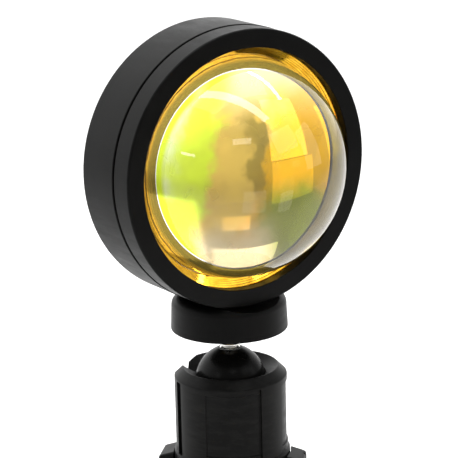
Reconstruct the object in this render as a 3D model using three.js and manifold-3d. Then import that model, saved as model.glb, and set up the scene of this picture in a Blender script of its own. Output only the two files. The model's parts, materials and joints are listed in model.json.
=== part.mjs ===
// Round spot lamp with a thick domed lens, carried on a clamping ball joint and a weighted foot.
// Millimetres, +Z up. The lamp faces -Y and the stand's axis is the line X = Y = 0.
import * as THREE from 'three';
import { mergeVertices } from 'three/addons/utils/BufferGeometryUtils.js';
import Module from 'manifold-3d';

const wasm = await Module();
wasm.setup();

// Clearances
const FIT = 0.3;               // between pieces that touch or turn in each other
const LOOSE = 0.6;             // where a screw's shank passes through
const THREAD_GAP = 0.25;       // around a plain stand-in for a thread
const PAST = 1;                // how far a cutting tool runs beyond what it cuts

// Screws: head radius, head height, shank radius
const FOOT_SCREW = [2.6, 1.7, 1.3];
const PUCK_SCREW = [2.1, 1.6, 1.25];
const COVER_SCREW = [2.1, 1.3, 1.1];
const LED_SCREW = [1.7, 0.9, 0.9];
const DRIVER_SCREW = [1.6, 0.9, 0.9];
const SCREW_EDGE = 0.3;        // share of the head given to its rounded edge
const SLOT_LENGTH = 1.1;       // cross slot, in head radii
const SLOT_WIDTH = 0.28;

// Foot
const FOOT_RADIUS = 40.5;
const FOOT_HEIGHT = 7.5;
const FOOT_RIM_HEIGHT = 3.4;
const FOOT_RIM_WIDTH = 1.6;
const FOOT_SHOULDER = 2.6;
const FOOT_FLAT = 2.1;         // flat top beyond the lobes
const FOOT_BOSS_RADIUS = 13;
const FOOT_BOSS_RECESS = 1.8;
const PAD_THICKNESS = 1.7;
const PAD_PROUD = 0.8;
const BALLAST_THICKNESS = 3;
const BUSH_RADIUS = 4.7;
const SOCKET_THREAD_RADIUS = 3.175;
const FOOT_SCREW_CIRCLE = 9.2;
const FOOT_SCREWS = 3;
const FOOT_SCREW_SINK = 2.2;
const FOOT_SCREW_BITE = 2.8;

// Clamp ring and what it lifts
const RING_GAP = 0.6;          // foot to ring
const RING_HEIGHT = 9.1;
const RING_RADIUS = 20.2;
const LOBES = 4;
const LOBE_REACH = 22.8;
const LOBE_WIDTH = 10.5;
const LOBE_RISE = 5.4;         // above the ring
const LOBE_SLOPE = 0.36;       // fall of a lobe's top per millimetre outwards
const LOBE_GROOVE = 1.0;
const LOBE_GROOVE_DEPTH = 0.8;
const LOBE_GROOVE_TURN = 6;    // degrees off the lobe's middle
const LOBE_ROUND = 0.2;        // lobe's middle beyond its corners
const LOBE_ROOT = 1;
const FIRST_LOBE_ANGLE = 46;
const PIN_RADIUS = 1;
const CAM_PINS = 3;
const PIN_RISE = 2.6;          // above the cup's underside
const PIN_REACH = 1;           // into the clamp ring
const CUP_LIFT = 0.375;
const CUP_WALL = 2.5;
const CUP_WEB = 6;
const SPRING_WIRE_RADIUS = 0.7;
const SPRING_TURNS = 3;
const SPRING_STEPS = 12;       // per turn

// Socket collar
const COLLAR_FLOOR = 3.7;
const COLLAR_RADIUS = 17.5;
const COLLAR_SKIRT_STEP = 0.6;
const COLLAR_SKIRT_TOP = 22.6; // below the ball's centre
const COLLAR_CHAMFER = 2.9;
const COLLAR_RISE = 4.8;       // top edge above the ball's centre
const COLLAR_LIP_DROP = 2.5;
const COLLAR_GROOVES = [        // angle, width, depth
  [169, 3, 1.2],
  [266.6, 0.9, 0.7],
];
const COLLAR_BAND = 0.8;       // plain wall left above a groove
const JOURNAL_WALL = 2.9;
const PILOT_FLOOR = 0.8;       // left under the cup by a screw's pilot hole
const COLLAR_DROP = 28.2;      // ball's centre down to the clamp ring
const NOTCH_ANGLE = 123;
const NOTCH_WIDTH = 10.6;
const RACE_WALL = 1.8;
const RACE_BELOW = 5;
const RACE_ABOVE = 0.5;

// Ball and stud
const BALL_RADIUS = 10.9;
const BALL_FLAT_RISE = 10.4;
const STUD_RADIUS = 3.175;
const STUD_REACH = 17;         // ball's centre to the puck
const STUD_IN_BALL = 8.4;
const STUD_CHAMFER = 0.8;

// Puck under the lamp
const PUCK_RADIUS = 18.1;
const PUCK_HEIGHT = 10.5;
const PUCK_DRAFT = 0.45;
const PUCK_SHOULDER = 1.9;
const PUCK_DISH_RADIUS = 13.5;
const PUCK_DISH_DEPTH = 1.1;
const PUCK_SINK = 1.2;         // how far the drum sits down into it
const PUCK_ROOF = 1.6;
const INSERT_RADIUS = 5;
const PUCK_SCREW_SPACING = 18;
const PUCK_SCREW_DEPTH = 5;

// Lamp body, lengths along Y; its depth is centred over the puck
const BEZEL_RADIUS = 42.5;
const BEZEL_OPENING = 36.8;
const BEZEL_DEPTH = 7.75;
const BEZEL_EDGE = 0.8;
const BEZEL_LIP = 3.3;
const BEZEL_SKIRT = 7;
const BEZEL_WALL = 1.3;        // behind the lip
const SEAM = 0.6;
const DRUM_RADIUS = 42.7;
const DRUM_DEPTH = 17.25;
const DRUM_WALL = 2.5;
const DRUM_EDGE = 1;
const DRUM_FRONT_EDGE = 0.3;
const DRUM_LEDGE = 8;
const DRUM_LEDGE_WIDTH = 1.6;
const FLANGE_THICKNESS = 2.4;
const FLANGE_WIDTH = 6.5;      // inside the lens stack
const PUCK_HOLE_DEPTH = 7;     // inside the drum's bore
const COVER_THICKNESS = 1.6;
const COVER_RIM = 1;
const COVER_EDGE = 0.4;
const COVER_RIBS = 3;
const COVER_RIB_HEIGHT = 1;
const COVER_RIB_WIDTH = 1.4;
const COVER_RIB_PITCH = 4.2;
const COVER_FIRST_RIB = 7;
const COVER_SCREWS = 4;
const COVER_SCREW_INSET = 3.4;
const FLANGE_SCREW_BITE = 2.2;

// Optics
const LENS_RADIUS = 34;        // of the dome
const LENS_CENTRE = 8.4;       // dome's centre behind the front face
const LENS_FLANGE = 2.5;
const TRIM_DEPTH = 4.5;
const TRIM_EDGE = 1.2;
const GASKET_WIDTH = 2.9;
const GASKET_THICKNESS = 1;
const DISH_SHEET = 0.8;
const DISH_FALL = 2.6;
const DISH_FACE = 0.4;         // edge of the gilt face round the film
const RETAINER_THICKNESS = 1.1;
const FILTER_RADIUS = 20.5;    // colour film on the lens's flat back
const FILTER_THICKNESS = 0.6;
const DIFFUSER_RADIUS = 21.2;
const DIFFUSER_THICKNESS = 1.1;
const DIFFUSER_LEDGE = 1.4;
const FUNNEL_DEPTH = 4.2;
const FUNNEL_THROAT = 7.3;
const FUNNEL_SHEET = 0.8;
const FUNNEL_FLARE = 0.6;
const CHIP_SIZE = 9;
const CHIP_THICKNESS = 0.8;
const BOARD_RADIUS = 16;
const BOARD_THICKNESS = 1.2;
const THERMAL_PAD_RADIUS = 11;
const LED_SCREW_SPACING = 26;
const LED_SCREW_COVER = 0.6;   // metal left behind a screw's end

// Electronics
const DRIVER_SIZE = [22, 10.5];
const DRIVER_INSET = 7.9;      // board's middle inside the lens stack
const DRIVER_SCREW_SPACING = 17;
const DRIVER_SCREW_RISE = 3.3; // above the board's middle
const DRIVER_POST_RADIUS = 1.9;
const DRIVER_STANDOFF = 2;
const POST_ROOT = 0.5;         // post's end inside the flange
const POST_HOLE = 1.2;         // depth of its hole below the flange's face
const CHOKE = { radius: 2.6, height: 2, x: -4.2 };
const CAPACITOR = { radius: 2.2, height: 2.3, x: 4.4 };
const COMPONENT_DROP = 1.6;    // below the board's middle
const LEAD_RADIUS = 0.6;
const LEAD_PLACE = 4;          // from the lamp's middle plane
const LEAD_SPREAD = 1.2;
const LEAD_DROP = [3.6, 8.4];  // below the board's middle: where it starts, where it bows
const LEAD_INSET = 2.4;        // from the light board's edge
const LEAD_STEPS = 8;
const INLET_RADIUS = 4;
const INLET_WALL = 1.2;
const INLET_FLOOR = 1.5;
const INLET_PIN_RADIUS = 1;
const INLET_PIN_SHY = 1;       // pin's end inside the mouth
const INLET_PROUD = 0.6;
const INLET_PLACE = [-18, -18];
const INLET_DEPTH = 5.5;
const INLET_NUT_WIDTH = 2;
const INLET_NUT_THICKNESS = 1.6;

// Facets
const COARSE = 10;
const MEDIUM = 24;
const FINE = 40;

// Heights that follow
const FLOOR_TOP = FOOT_HEIGHT + FIT + COLLAR_FLOOR;
const RING_Z = FOOT_HEIGHT + RING_GAP;
const RING_TOP = RING_Z + RING_HEIGHT;
const BALL_Z = RING_TOP + FIT + COLLAR_DROP;
const PUCK_Z = BALL_Z + STUD_REACH;
const INSERT_TOP = PUCK_Z + PUCK_HEIGHT - PUCK_SINK - PUCK_ROOF;
const STUD_TOP = INSERT_TOP - FIT;
const LAMP_Z = PUCK_Z + PUCK_HEIGHT - PUCK_SINK + DRUM_RADIUS;
const PIN_Z = FLOOR_TOP + FIT + PIN_RISE;
const SEAT_RADIUS = BALL_RADIUS + FIT;
const BORE_RADIUS = SEAT_RADIUS + RACE_WALL + FIT;
const JOURNAL_RADIUS = BORE_RADIUS + JOURNAL_WALL;

// Places along Y that follow
const FRONT_Y = -(BEZEL_DEPTH + SEAM + DRUM_DEPTH) / 2;
const DRUM_Y = FRONT_Y + BEZEL_DEPTH + SEAM;
const BACK_Y = DRUM_Y + DRUM_DEPTH;
const DRUM_BORE = DRUM_RADIUS - DRUM_WALL;
const SKIRT_RADIUS = DRUM_BORE - FIT;
const STACK_RADIUS = BEZEL_OPENING + BEZEL_WALL;
const DRIVER_RISE = STACK_RADIUS - DRIVER_INSET;
const TRIM_Y = FRONT_Y + BEZEL_LIP + FIT;
const LENS_Y = TRIM_Y + TRIM_DEPTH + FIT;
const LENS_BACK_Y = LENS_Y + LENS_FLANGE;
const GASKET_Y = LENS_BACK_Y + FIT;
const DISH_Y = GASKET_Y + GASKET_THICKNESS + FIT;
const RETAINER_Y = DISH_Y + DISH_SHEET + FIT;
const FILTER_Y = LENS_BACK_Y + FIT;
const DIFFUSER_Y = DISH_Y + DISH_FALL - DIFFUSER_THICKNESS;
const FUNNEL_Y = DIFFUSER_Y + DIFFUSER_THICKNESS + FIT + DISH_SHEET + FIT;
const CHIP_Y = FUNNEL_Y + FUNNEL_DEPTH - FIT;
const BOARD_Y = CHIP_Y + CHIP_THICKNESS + FIT;
const COVER_Y = BACK_Y - COVER_THICKNESS;
const COVER_RADIUS = DRUM_BORE - DRUM_LEDGE_WIDTH - COVER_RIM;
const FLANGE_Y = COVER_Y - FIT - FLANGE_THICKNESS;
const DRIVER_Y = FLANGE_Y - DRIVER_STANDOFF - BOARD_THICKNESS - FIT;
const PUCK_SCREW_Y = DRUM_Y + DRUM_LEDGE + PUCK_SCREW[0] + FIT;

const radians = THREE.MathUtils.degToRad;
const degrees = THREE.MathUtils.radToDeg;
const lamp = new THREE.Group();

const FINISHES = {
  blackPaint: { color: 0x1d1d1e, roughness: 0.55, metalness: 0.3 },
  blackPlastic: { color: 0x1a1a1b, roughness: 0.5, metalness: 0 },
  blackSatin: { color: 0x111111, roughness: 0.3, metalness: 0 },
  rubber: { color: 0x161616, roughness: 0.9, metalness: 0 },
  glass: { color: 0xf4f1dc, roughness: 0.02, metalness: 0 },
  gold: { color: 0xd79a1e, roughness: 0.2, metalness: 1 },
  filter: { color: 0xe6c53a, roughness: 0.05, metalness: 0 },
  frosted: { color: 0xf2efe2, roughness: 0.6, metalness: 0 },
  aluminium: { color: 0xb9bcc0, roughness: 0.35, metalness: 1 },
  steel: { color: 0xc4c6c8, roughness: 0.25, metalness: 1 },
  brass: { color: 0xb5903f, roughness: 0.35, metalness: 1 },
  nylon: { color: 0xe4e2da, roughness: 0.5, metalness: 0 },
  phosphor: { color: 0xf3d04a, roughness: 0.5, metalness: 0 },
  circuitBoard: { color: 0x14532b, roughness: 0.5, metalness: 0 },
  redLead: { color: 0xb01818, roughness: 0.5, metalness: 0 },
  blackLead: { color: 0x101010, roughness: 0.5, metalness: 0 },
};

function add(name, geometry, finish, parent = lamp) {
  const mesh = new THREE.Mesh(geometry, new THREE.MeshStandardMaterial(FINISHES[finish]));
  mesh.name = name;
  parent.add(mesh);
  return mesh;
}

// A solid of revolution about Y from an outline of [radius, distance along Y].
function turned(outline, sides = FINE) {
  const points = outline.map(([radius, along]) => new THREE.Vector2(radius, along));
  if (THREE.ShapeUtils.area(points) < 0) points.reverse();
  if (points[0].x > 0) points.push(points[0].clone());
  return new THREE.LatheGeometry(points, sides);
}

// The same, about Z.
function spun(outline, sides = FINE) {
  return turned(outline, sides).rotateX(Math.PI / 2);
}

// Points of an arc about a centre, in degrees from the radius direction.
function arc(radiusAt, along, radius, from, to, steps) {
  const points = [];
  for (let step = 0; step <= steps; step += 1) {
    const angle = radians(from + (to - from) * step / steps);
    points.push([radiusAt + radius * Math.cos(angle), along + radius * Math.sin(angle)]);
  }
  return points;
}

function ring(inner, outer, low, high) {
  return [[inner, low], [outer, low], [outer, high], [inner, high]];
}

function rod(radius, low, high) {
  return [[0, low], [radius, low], [radius, high], [0, high]];
}

// A round hole's tool along Y, and the same along Z.
function drill(radius, low, high, sides = COARSE) {
  return turned(rod(radius, low, high), sides);
}

function drillUp(radius, low, high, sides = COARSE) {
  return spun(rod(radius, low, high), sides);
}

function solid(geometry) {
  const bare = geometry.clone();
  bare.deleteAttribute('normal');
  bare.deleteAttribute('uv');
  const merged = mergeVertices(bare, 1e-4);
  const corners = [];
  for (let i = 0; i < merged.index.count; i += 3) {
    const [a, b, c] = [0, 1, 2].map((k) => merged.index.getX(i + k));
    if (a !== b && b !== c && c !== a) corners.push(a, b, c);
  }
  const mesh = new wasm.Mesh({
    numProp: 3,
    vertProperties: new Float32Array(merged.attributes.position.array),
    triVerts: new Uint32Array(corners),
  });
  return new wasm.Manifold(mesh);
}

function shaped(manifold) {
  const mesh = manifold.getMesh();
  const geometry = new THREE.BufferGeometry();
  geometry.setAttribute('position', new THREE.BufferAttribute(mesh.vertProperties, 3));
  geometry.setIndex(new THREE.BufferAttribute(mesh.triVerts, 1));
  geometry.computeVertexNormals();
  return geometry;
}

function cut(geometry, tools) {
  return shaped(tools.reduce((body, tool) => body.subtract(solid(tool)), solid(geometry)));
}

function joined(geometry, pieces) {
  return shaped(pieces.reduce((body, piece) => body.add(solid(piece)), solid(geometry)));
}

// Places of a ring of repeated features, in degrees.
function anglesOf(count, first = 0) {
  return Array.from({ length: count }, (_, i) => first + i * 360 / count);
}

function aroundZ(geometry, angle) {
  return geometry.rotateZ(radians(angle));
}

function onCircle(radius, angle) {
  return [radius * Math.cos(radians(angle)), radius * Math.sin(radians(angle))];
}

// A pan-head screw standing on Y = 0 under its head, shank towards +Y, with a cross slot.
function screw([headRadius, headHeight, shankRadius], length) {
  const outline = [
    [0, -headHeight],
    [headRadius * (1 - SCREW_EDGE), -headHeight],
    [headRadius, -headHeight / 2],
    [headRadius, 0],
    [shankRadius, 0],
    [shankRadius, length],
    [0, length],
  ];
  const slotLength = headRadius * SLOT_LENGTH;
  const slotWidth = headRadius * SLOT_WIDTH;
  const slots = [[slotLength, slotWidth], [slotWidth, slotLength]].map(([x, z]) => (
    new THREE.BoxGeometry(x, headHeight, z).translate(0, -headHeight, 0)
  ));
  return cut(turned(outline, COARSE), slots);
}

function foot() {
  const padRadius = FOOT_RADIUS - FOOT_RIM_WIDTH - FIT;
  const bossClear = FOOT_BOSS_RADIUS + FIT;
  const ballastZ = PAD_THICKNESS + FIT;
  const ceiling = ballastZ + BALLAST_THICKNESS + FIT;
  const shell = spun([
    [BUSH_RADIUS + FIT, FOOT_BOSS_RECESS],
    [FOOT_BOSS_RADIUS, FOOT_BOSS_RECESS],
    [FOOT_BOSS_RADIUS, ceiling],
    [padRadius + FIT, ceiling],
    [padRadius + FIT, PAD_PROUD],
    [FOOT_RADIUS, PAD_PROUD],
    [FOOT_RADIUS, FOOT_RIM_HEIGHT],
    ...arc(FOOT_RADIUS - FOOT_SHOULDER, FOOT_RIM_HEIGHT, FOOT_SHOULDER, 0, 80, 4),
    [LOBE_REACH + FOOT_FLAT, FOOT_HEIGHT],
    [BUSH_RADIUS + FIT, FOOT_HEIGHT],
  ]);
  const [headRadius, , shankRadius] = FOOT_SCREW;
  const seat = FOOT_BOSS_RECESS + FOOT_SCREW_SINK;
  const holes = anglesOf(FOOT_SCREWS, 90).flatMap((angle) => {
    const [x, y] = onCircle(FOOT_SCREW_CIRCLE, angle);
    const shankHole = drillUp(shankRadius + FIT, 0, FOOT_HEIGHT + PAST).translate(x, y, 0);
    const headHole = drillUp(headRadius + FIT, 0, seat).translate(x, y, 0);
    return [shankHole, headHole];
  });
  add('foot_shell', cut(shell, holes), 'blackPlastic');
  add('foot_pad', spun(ring(bossClear, padRadius, 0, PAD_THICKNESS)), 'rubber');
  const ballast = ring(bossClear, padRadius, ballastZ, ballastZ + BALLAST_THICKNESS);
  add('ballast_plate', spun(ballast), 'steel');
  const bore = SOCKET_THREAD_RADIUS + THREAD_GAP;
  const bush = ring(bore, BUSH_RADIUS, FOOT_BOSS_RECESS, FOOT_HEIGHT - FIT);
  add('threaded_bush', spun(bush, MEDIUM), 'brass');
  anglesOf(FOOT_SCREWS, 90).forEach((angle, i) => {
    const [x, y] = onCircle(FOOT_SCREW_CIRCLE, angle);
    const length = FOOT_HEIGHT - seat + FOOT_SCREW_BITE;
    const mesh = add(`foot_screw_${i + 1}`, screw(FOOT_SCREW, length), 'steel');
    mesh.rotation.x = Math.PI / 2;
    mesh.position.set(x, y, seat - FIT);
  });
}

// A pin's hole or slot through a wall, along the radius at the given angle.
function radialSlot(width, height, low, from, to, angle) {
  const box = new THREE.BoxGeometry(to - from, width, height);
  return aroundZ(box.translate((from + to) / 2, 0, low + height / 2), angle);
}

function dropNotch() {
  const half = NOTCH_WIDTH / 2;
  const floor = -STUD_RADIUS - FIT;
  const outline = new THREE.Shape();
  outline.absarc(0, floor + half, half, Math.PI, 2 * Math.PI, false);
  outline.lineTo(half, COLLAR_RISE + PAST);
  outline.lineTo(-half, COLLAR_RISE + PAST);
  const tool = new THREE.ExtrudeGeometry(outline, {
    depth: COLLAR_RADIUS, bevelEnabled: false, curveSegments: 8,
  });
  return aroundZ(tool.rotateX(Math.PI / 2).translate(0, 0, BALL_Z), NOTCH_ANGLE + 90);
}

function collar() {
  const skirtZ = BALL_Z - COLLAR_SKIRT_TOP;
  const skirtRadius = COLLAR_RADIUS + COLLAR_SKIRT_STEP;
  const top = BALL_Z + COLLAR_RISE;
  const lipZ = COLLAR_RISE - COLLAR_LIP_DROP;
  const lipAngle = degrees(Math.asin(lipZ / SEAT_RADIUS));
  const shelfZ = RACE_ABOVE + FIT;
  const shelfAngle = degrees(Math.asin(shelfZ / SEAT_RADIUS));
  const body = spun([
    [0, FOOT_HEIGHT + FIT],
    [JOURNAL_RADIUS, FOOT_HEIGHT + FIT],
    [JOURNAL_RADIUS, RING_TOP + FIT],
    [skirtRadius, RING_TOP + FIT],
    [skirtRadius, skirtZ],
    [COLLAR_RADIUS, skirtZ + COLLAR_SKIRT_STEP],
    [COLLAR_RADIUS, top - COLLAR_CHAMFER],
    [COLLAR_RADIUS - COLLAR_CHAMFER, top],
    ...arc(0, BALL_Z, SEAT_RADIUS, lipAngle, shelfAngle, 3),
    [BORE_RADIUS, BALL_Z + shelfZ],
    [BORE_RADIUS, FLOOR_TOP],
    [0, FLOOR_TOP],
  ]);
  const slotWidth = 2 * (PIN_RADIUS + FIT);
  const slots = anglesOf(CAM_PINS).map((angle) => radialSlot(
    slotWidth, slotWidth + CUP_LIFT, PIN_Z - slotWidth / 2,
    BORE_RADIUS - PAST, JOURNAL_RADIUS + PAST, angle,
  ));
  const pilotRadius = FOOT_SCREW[2] + THREAD_GAP;
  const pilots = anglesOf(FOOT_SCREWS, 90).map((angle) => {
    const [x, y] = onCircle(FOOT_SCREW_CIRCLE, angle);
    return drillUp(pilotRadius, FOOT_HEIGHT, FLOOR_TOP - PILOT_FLOOR).translate(x, y, 0);
  });
  const grooveHeight = top - COLLAR_CHAMFER - COLLAR_BAND - skirtZ - COLLAR_SKIRT_STEP;
  const grooves = COLLAR_GROOVES.map(([angle, width, depth]) => radialSlot(
    width, grooveHeight, skirtZ + COLLAR_SKIRT_STEP,
    COLLAR_RADIUS - depth, COLLAR_RADIUS + PAST, angle,
  ));
  add('socket_collar', cut(body, [dropNotch(), ...slots, ...pilots, ...grooves]), 'blackPlastic');
}

function pressureCup() {
  const dish = SEAT_RADIUS + FIT;
  const outer = BORE_RADIUS - FIT;
  const top = BALL_Z - RACE_BELOW - CUP_LIFT - 2 * FIT;
  const dishAngle = degrees(Math.asin((top - BALL_Z) / dish));
  const low = FLOOR_TOP + FIT;
  const springRoom = outer - CUP_WALL;
  const cup = spun([
    ...arc(0, BALL_Z, dish, -90, dishAngle, 5),
    [outer, top],
    [outer, low],
    [springRoom, low],
    [springRoom, BALL_Z - dish - CUP_WEB],
    [0, BALL_Z - dish - CUP_WEB],
  ], MEDIUM);
  const holeWidth = 2 * (PIN_RADIUS + THREAD_GAP);
  const holes = anglesOf(CAM_PINS).map((angle) => radialSlot(
    holeWidth, holeWidth, PIN_Z - holeWidth / 2, springRoom - PAST, outer + PAST, angle,
  ));
  add('pressure_cup', cut(cup, holes), 'nylon');
    anglesOf(CAM_PINS).forEach((angle, i) => {
    const pin = turned(rod(PIN_RADIUS, springRoom, JOURNAL_RADIUS + FIT + PIN_REACH), COARSE);
    const mesh = add(`cam_pin_${i + 1}`, pin, 'steel');
    mesh.rotation.z = radians(angle - 90);
    mesh.position.z = PIN_Z;
  });
  addSpring(FLOOR_TOP + FIT, BALL_Z - dish - CUP_WEB - FIT, springRoom - FIT - SPRING_WIRE_RADIUS);
}

class Helix extends THREE.Curve {
  constructor(radius, low, high, turns) {
    super();
    Object.assign(this, { radius, low, high, turns });
  }

  getPoint(t, target = new THREE.Vector3()) {
    const angle = t * this.turns * 2 * Math.PI;
    return target.set(
      this.radius * Math.cos(angle), this.radius * Math.sin(angle), this.low + (this.high - this.low) * t,
    );
  }
}

// A round bar along a curve.
function bar(curve, radius, steps) {
  const section = new THREE.Shape();
  section.absarc(0, 0, radius, 0, 2 * Math.PI, false);
  return new THREE.ExtrudeGeometry(section, { steps, extrudePath: curve, curveSegments: 3 });
}

function addSpring(low, high, radius) {
  const path = new Helix(radius, low + SPRING_WIRE_RADIUS, high - SPRING_WIRE_RADIUS, SPRING_TURNS);
  add('preload_spring', bar(path, SPRING_WIRE_RADIUS, SPRING_TURNS * SPRING_STEPS), 'steel');
}

// One lobe of the clamp ring, standing on X with its top falling outwards.
function lobe(inner) {
  const top = RING_TOP + LOBE_RISE;
  const side = new THREE.Shape([
    new THREE.Vector2(inner, RING_Z),
    new THREE.Vector2(LOBE_REACH, RING_Z),
    new THREE.Vector2(LOBE_REACH, top - LOBE_SLOPE * (LOBE_REACH - inner)),
    new THREE.Vector2(inner, top),
  ]);
  const block = new THREE.ExtrudeGeometry(side, { depth: LOBE_WIDTH, bevelEnabled: false });
  return block.translate(0, 0, -LOBE_WIDTH / 2).rotateX(Math.PI / 2);
}

function clampRing() {
  const skirtClear = COLLAR_RADIUS + COLLAR_SKIRT_STEP + FIT;
  const bore = JOURNAL_RADIUS + FIT;
  const top = RING_TOP + LOBE_RISE;
  const body = spun(ring(bore, RING_RADIUS, RING_Z, RING_TOP));
  const angles = anglesOf(LOBES, FIRST_LOBE_ANGLE);
  const lobed = joined(body, angles.map((angle) => aroundZ(lobe(bore + LOBE_ROOT), angle)));
  const pinClear = PIN_RADIUS + FIT;
  const pinRoom = spun(ring(
    bore - PAST, bore + PIN_REACH + FIT, PIN_Z - pinClear, PIN_Z + pinClear + CUP_LIFT,
  ));
  const skirtRoom = spun(rod(skirtClear, RING_TOP, top + PAST));
  const grooves = angles.map((angle) => radialSlot(
    LOBE_GROOVE, top - RING_Z + 2 * PAST, RING_Z - PAST,
    LOBE_REACH - LOBE_GROOVE_DEPTH, LOBE_REACH + PAST, angle + LOBE_GROOVE_TURN,
  ));
  const round = solid(spun(rod(LOBE_REACH + LOBE_ROUND, RING_Z - PAST, top + PAST)));
  const trimmed = solid(cut(lobed, [pinRoom, skirtRoom, ...grooves])).intersect(round);
  add('lock_ring', shaped(trimmed), 'blackPlastic');
}

function ballJoint() {
  const raceOutline = [
    ...arc(0, BALL_Z, SEAT_RADIUS, -degrees(Math.asin(RACE_BELOW / SEAT_RADIUS)),
      degrees(Math.asin(RACE_ABOVE / SEAT_RADIUS)), 4),
    [BORE_RADIUS - FIT, BALL_Z + RACE_ABOVE],
    [BORE_RADIUS - FIT, BALL_Z - RACE_BELOW],
  ];
  add('swivel_race', spun(raceOutline, MEDIUM), 'blackPlastic');
  const flatAngle = degrees(Math.asin(BALL_FLAT_RISE / BALL_RADIUS));
  const hole = STUD_RADIUS + THREAD_GAP;
  const holeFloor = BALL_Z + BALL_FLAT_RISE - STUD_IN_BALL - FIT;
  const flatRadius = BALL_RADIUS * Math.cos(radians(flatAngle));
  const brow = Math.max(hole, flatRadius);
  const browAngle = degrees(Math.acos(brow / BALL_RADIUS));
  add('pivot_ball', spun([
    ...arc(0, BALL_Z, BALL_RADIUS, -90, browAngle, 14),
    [hole, holeFloor],
    [0, holeFloor],
  ], MEDIUM), 'blackSatin');
  const studLow = BALL_Z + BALL_FLAT_RISE - STUD_IN_BALL;
  add('ball_stud', spun([
    [0, studLow],
    [STUD_RADIUS, studLow],
    [STUD_RADIUS, STUD_TOP - STUD_CHAMFER],
    [STUD_RADIUS - STUD_CHAMFER, STUD_TOP],
    [0, STUD_TOP],
  ], MEDIUM), 'steel');
}

function puckScrewPlaces() {
  return [-0.5, 0.5].map((side) => side * PUCK_SCREW_SPACING);
}

function puck() {
  const top = PUCK_Z + PUCK_HEIGHT;
  const topRadius = PUCK_RADIUS - PUCK_DRAFT - PUCK_SHOULDER;
  const body = spun([
    [INSERT_RADIUS + THREAD_GAP, PUCK_Z],
    [PUCK_RADIUS, PUCK_Z],
    ...arc(topRadius, top - PUCK_SHOULDER, PUCK_SHOULDER, 0, 90, 4),
    [PUCK_DISH_RADIUS, top],
    [PUCK_DISH_RADIUS - PUCK_DISH_DEPTH, top - PUCK_DISH_DEPTH],
    [0, top - PUCK_DISH_DEPTH],
    [0, INSERT_TOP],
    [INSERT_RADIUS + THREAD_GAP, INSERT_TOP],
  ]);
  const saddle = turned(rod(DRUM_RADIUS + FIT, -2 * PUCK_RADIUS, 2 * PUCK_RADIUS));
  saddle.translate(0, 0, LAMP_Z);
  const [headRadius, , shankRadius] = PUCK_SCREW;
  const holes = puckScrewPlaces().map((x) => (
    drillUp(shankRadius + THREAD_GAP, top - PUCK_SCREW_DEPTH - FIT, top + PUCK_HEIGHT / 2)
      .translate(x, PUCK_SCREW_Y, 0)
  ));
  add('mount_puck', cut(body, [saddle, ...holes]), 'blackPaint');
  const threadBore = STUD_RADIUS + THREAD_GAP;
  add('puck_insert', spun(ring(threadBore, INSERT_RADIUS, PUCK_Z, INSERT_TOP - FIT), MEDIUM), 'brass');
  puckScrewPlaces().forEach((x, i) => {
    const bore = DRUM_BORE - DRUM_LEDGE_WIDTH;
    const seat = LAMP_Z - Math.sqrt(bore ** 2 - (Math.abs(x) + headRadius) ** 2) + FIT;
    const length = seat - top + PUCK_SCREW_DEPTH;
    const mesh = add(`puck_screw_${i + 1}`, screw(PUCK_SCREW, length), 'steel');
    mesh.rotation.x = -Math.PI / 2;
    mesh.position.set(x, PUCK_SCREW_Y, seat);
  });
}

// Lamp pieces are turned about the lamp's own axis, which is raised by this group.
const head = new THREE.Group();
head.position.z = LAMP_Z;
lamp.add(head);

function bezel() {
  const face = BEZEL_RADIUS - BEZEL_EDGE;
  const outline = [
    [BEZEL_OPENING, FRONT_Y],
    ...arc(face, FRONT_Y + BEZEL_EDGE, BEZEL_EDGE, -90, 0, 3),
    [BEZEL_RADIUS, FRONT_Y + BEZEL_DEPTH],
    [SKIRT_RADIUS, FRONT_Y + BEZEL_DEPTH],
    [SKIRT_RADIUS, FRONT_Y + BEZEL_DEPTH + BEZEL_SKIRT],
    [STACK_RADIUS, FRONT_Y + BEZEL_DEPTH + BEZEL_SKIRT],
    [STACK_RADIUS, FRONT_Y + BEZEL_LIP],
    [BEZEL_OPENING, FRONT_Y + BEZEL_LIP],
  ];
  add('front_bezel', turned(outline), 'blackPaint', head);
  const sealFront = FRONT_Y + BEZEL_DEPTH + BEZEL_SKIRT + FIT;
  const seal = ring(STACK_RADIUS + FIT, SKIRT_RADIUS, sealFront, DRUM_Y + DRUM_LEDGE - FIT);
  add('bezel_seal', turned(seal), 'rubber', head);
}

function driverScrewPlaces() {
  return [-0.5, 0.5].map((side) => (
    [side * DRIVER_SCREW_SPACING, DRIVER_RISE + DRIVER_SCREW_RISE]
  ));
}

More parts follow.
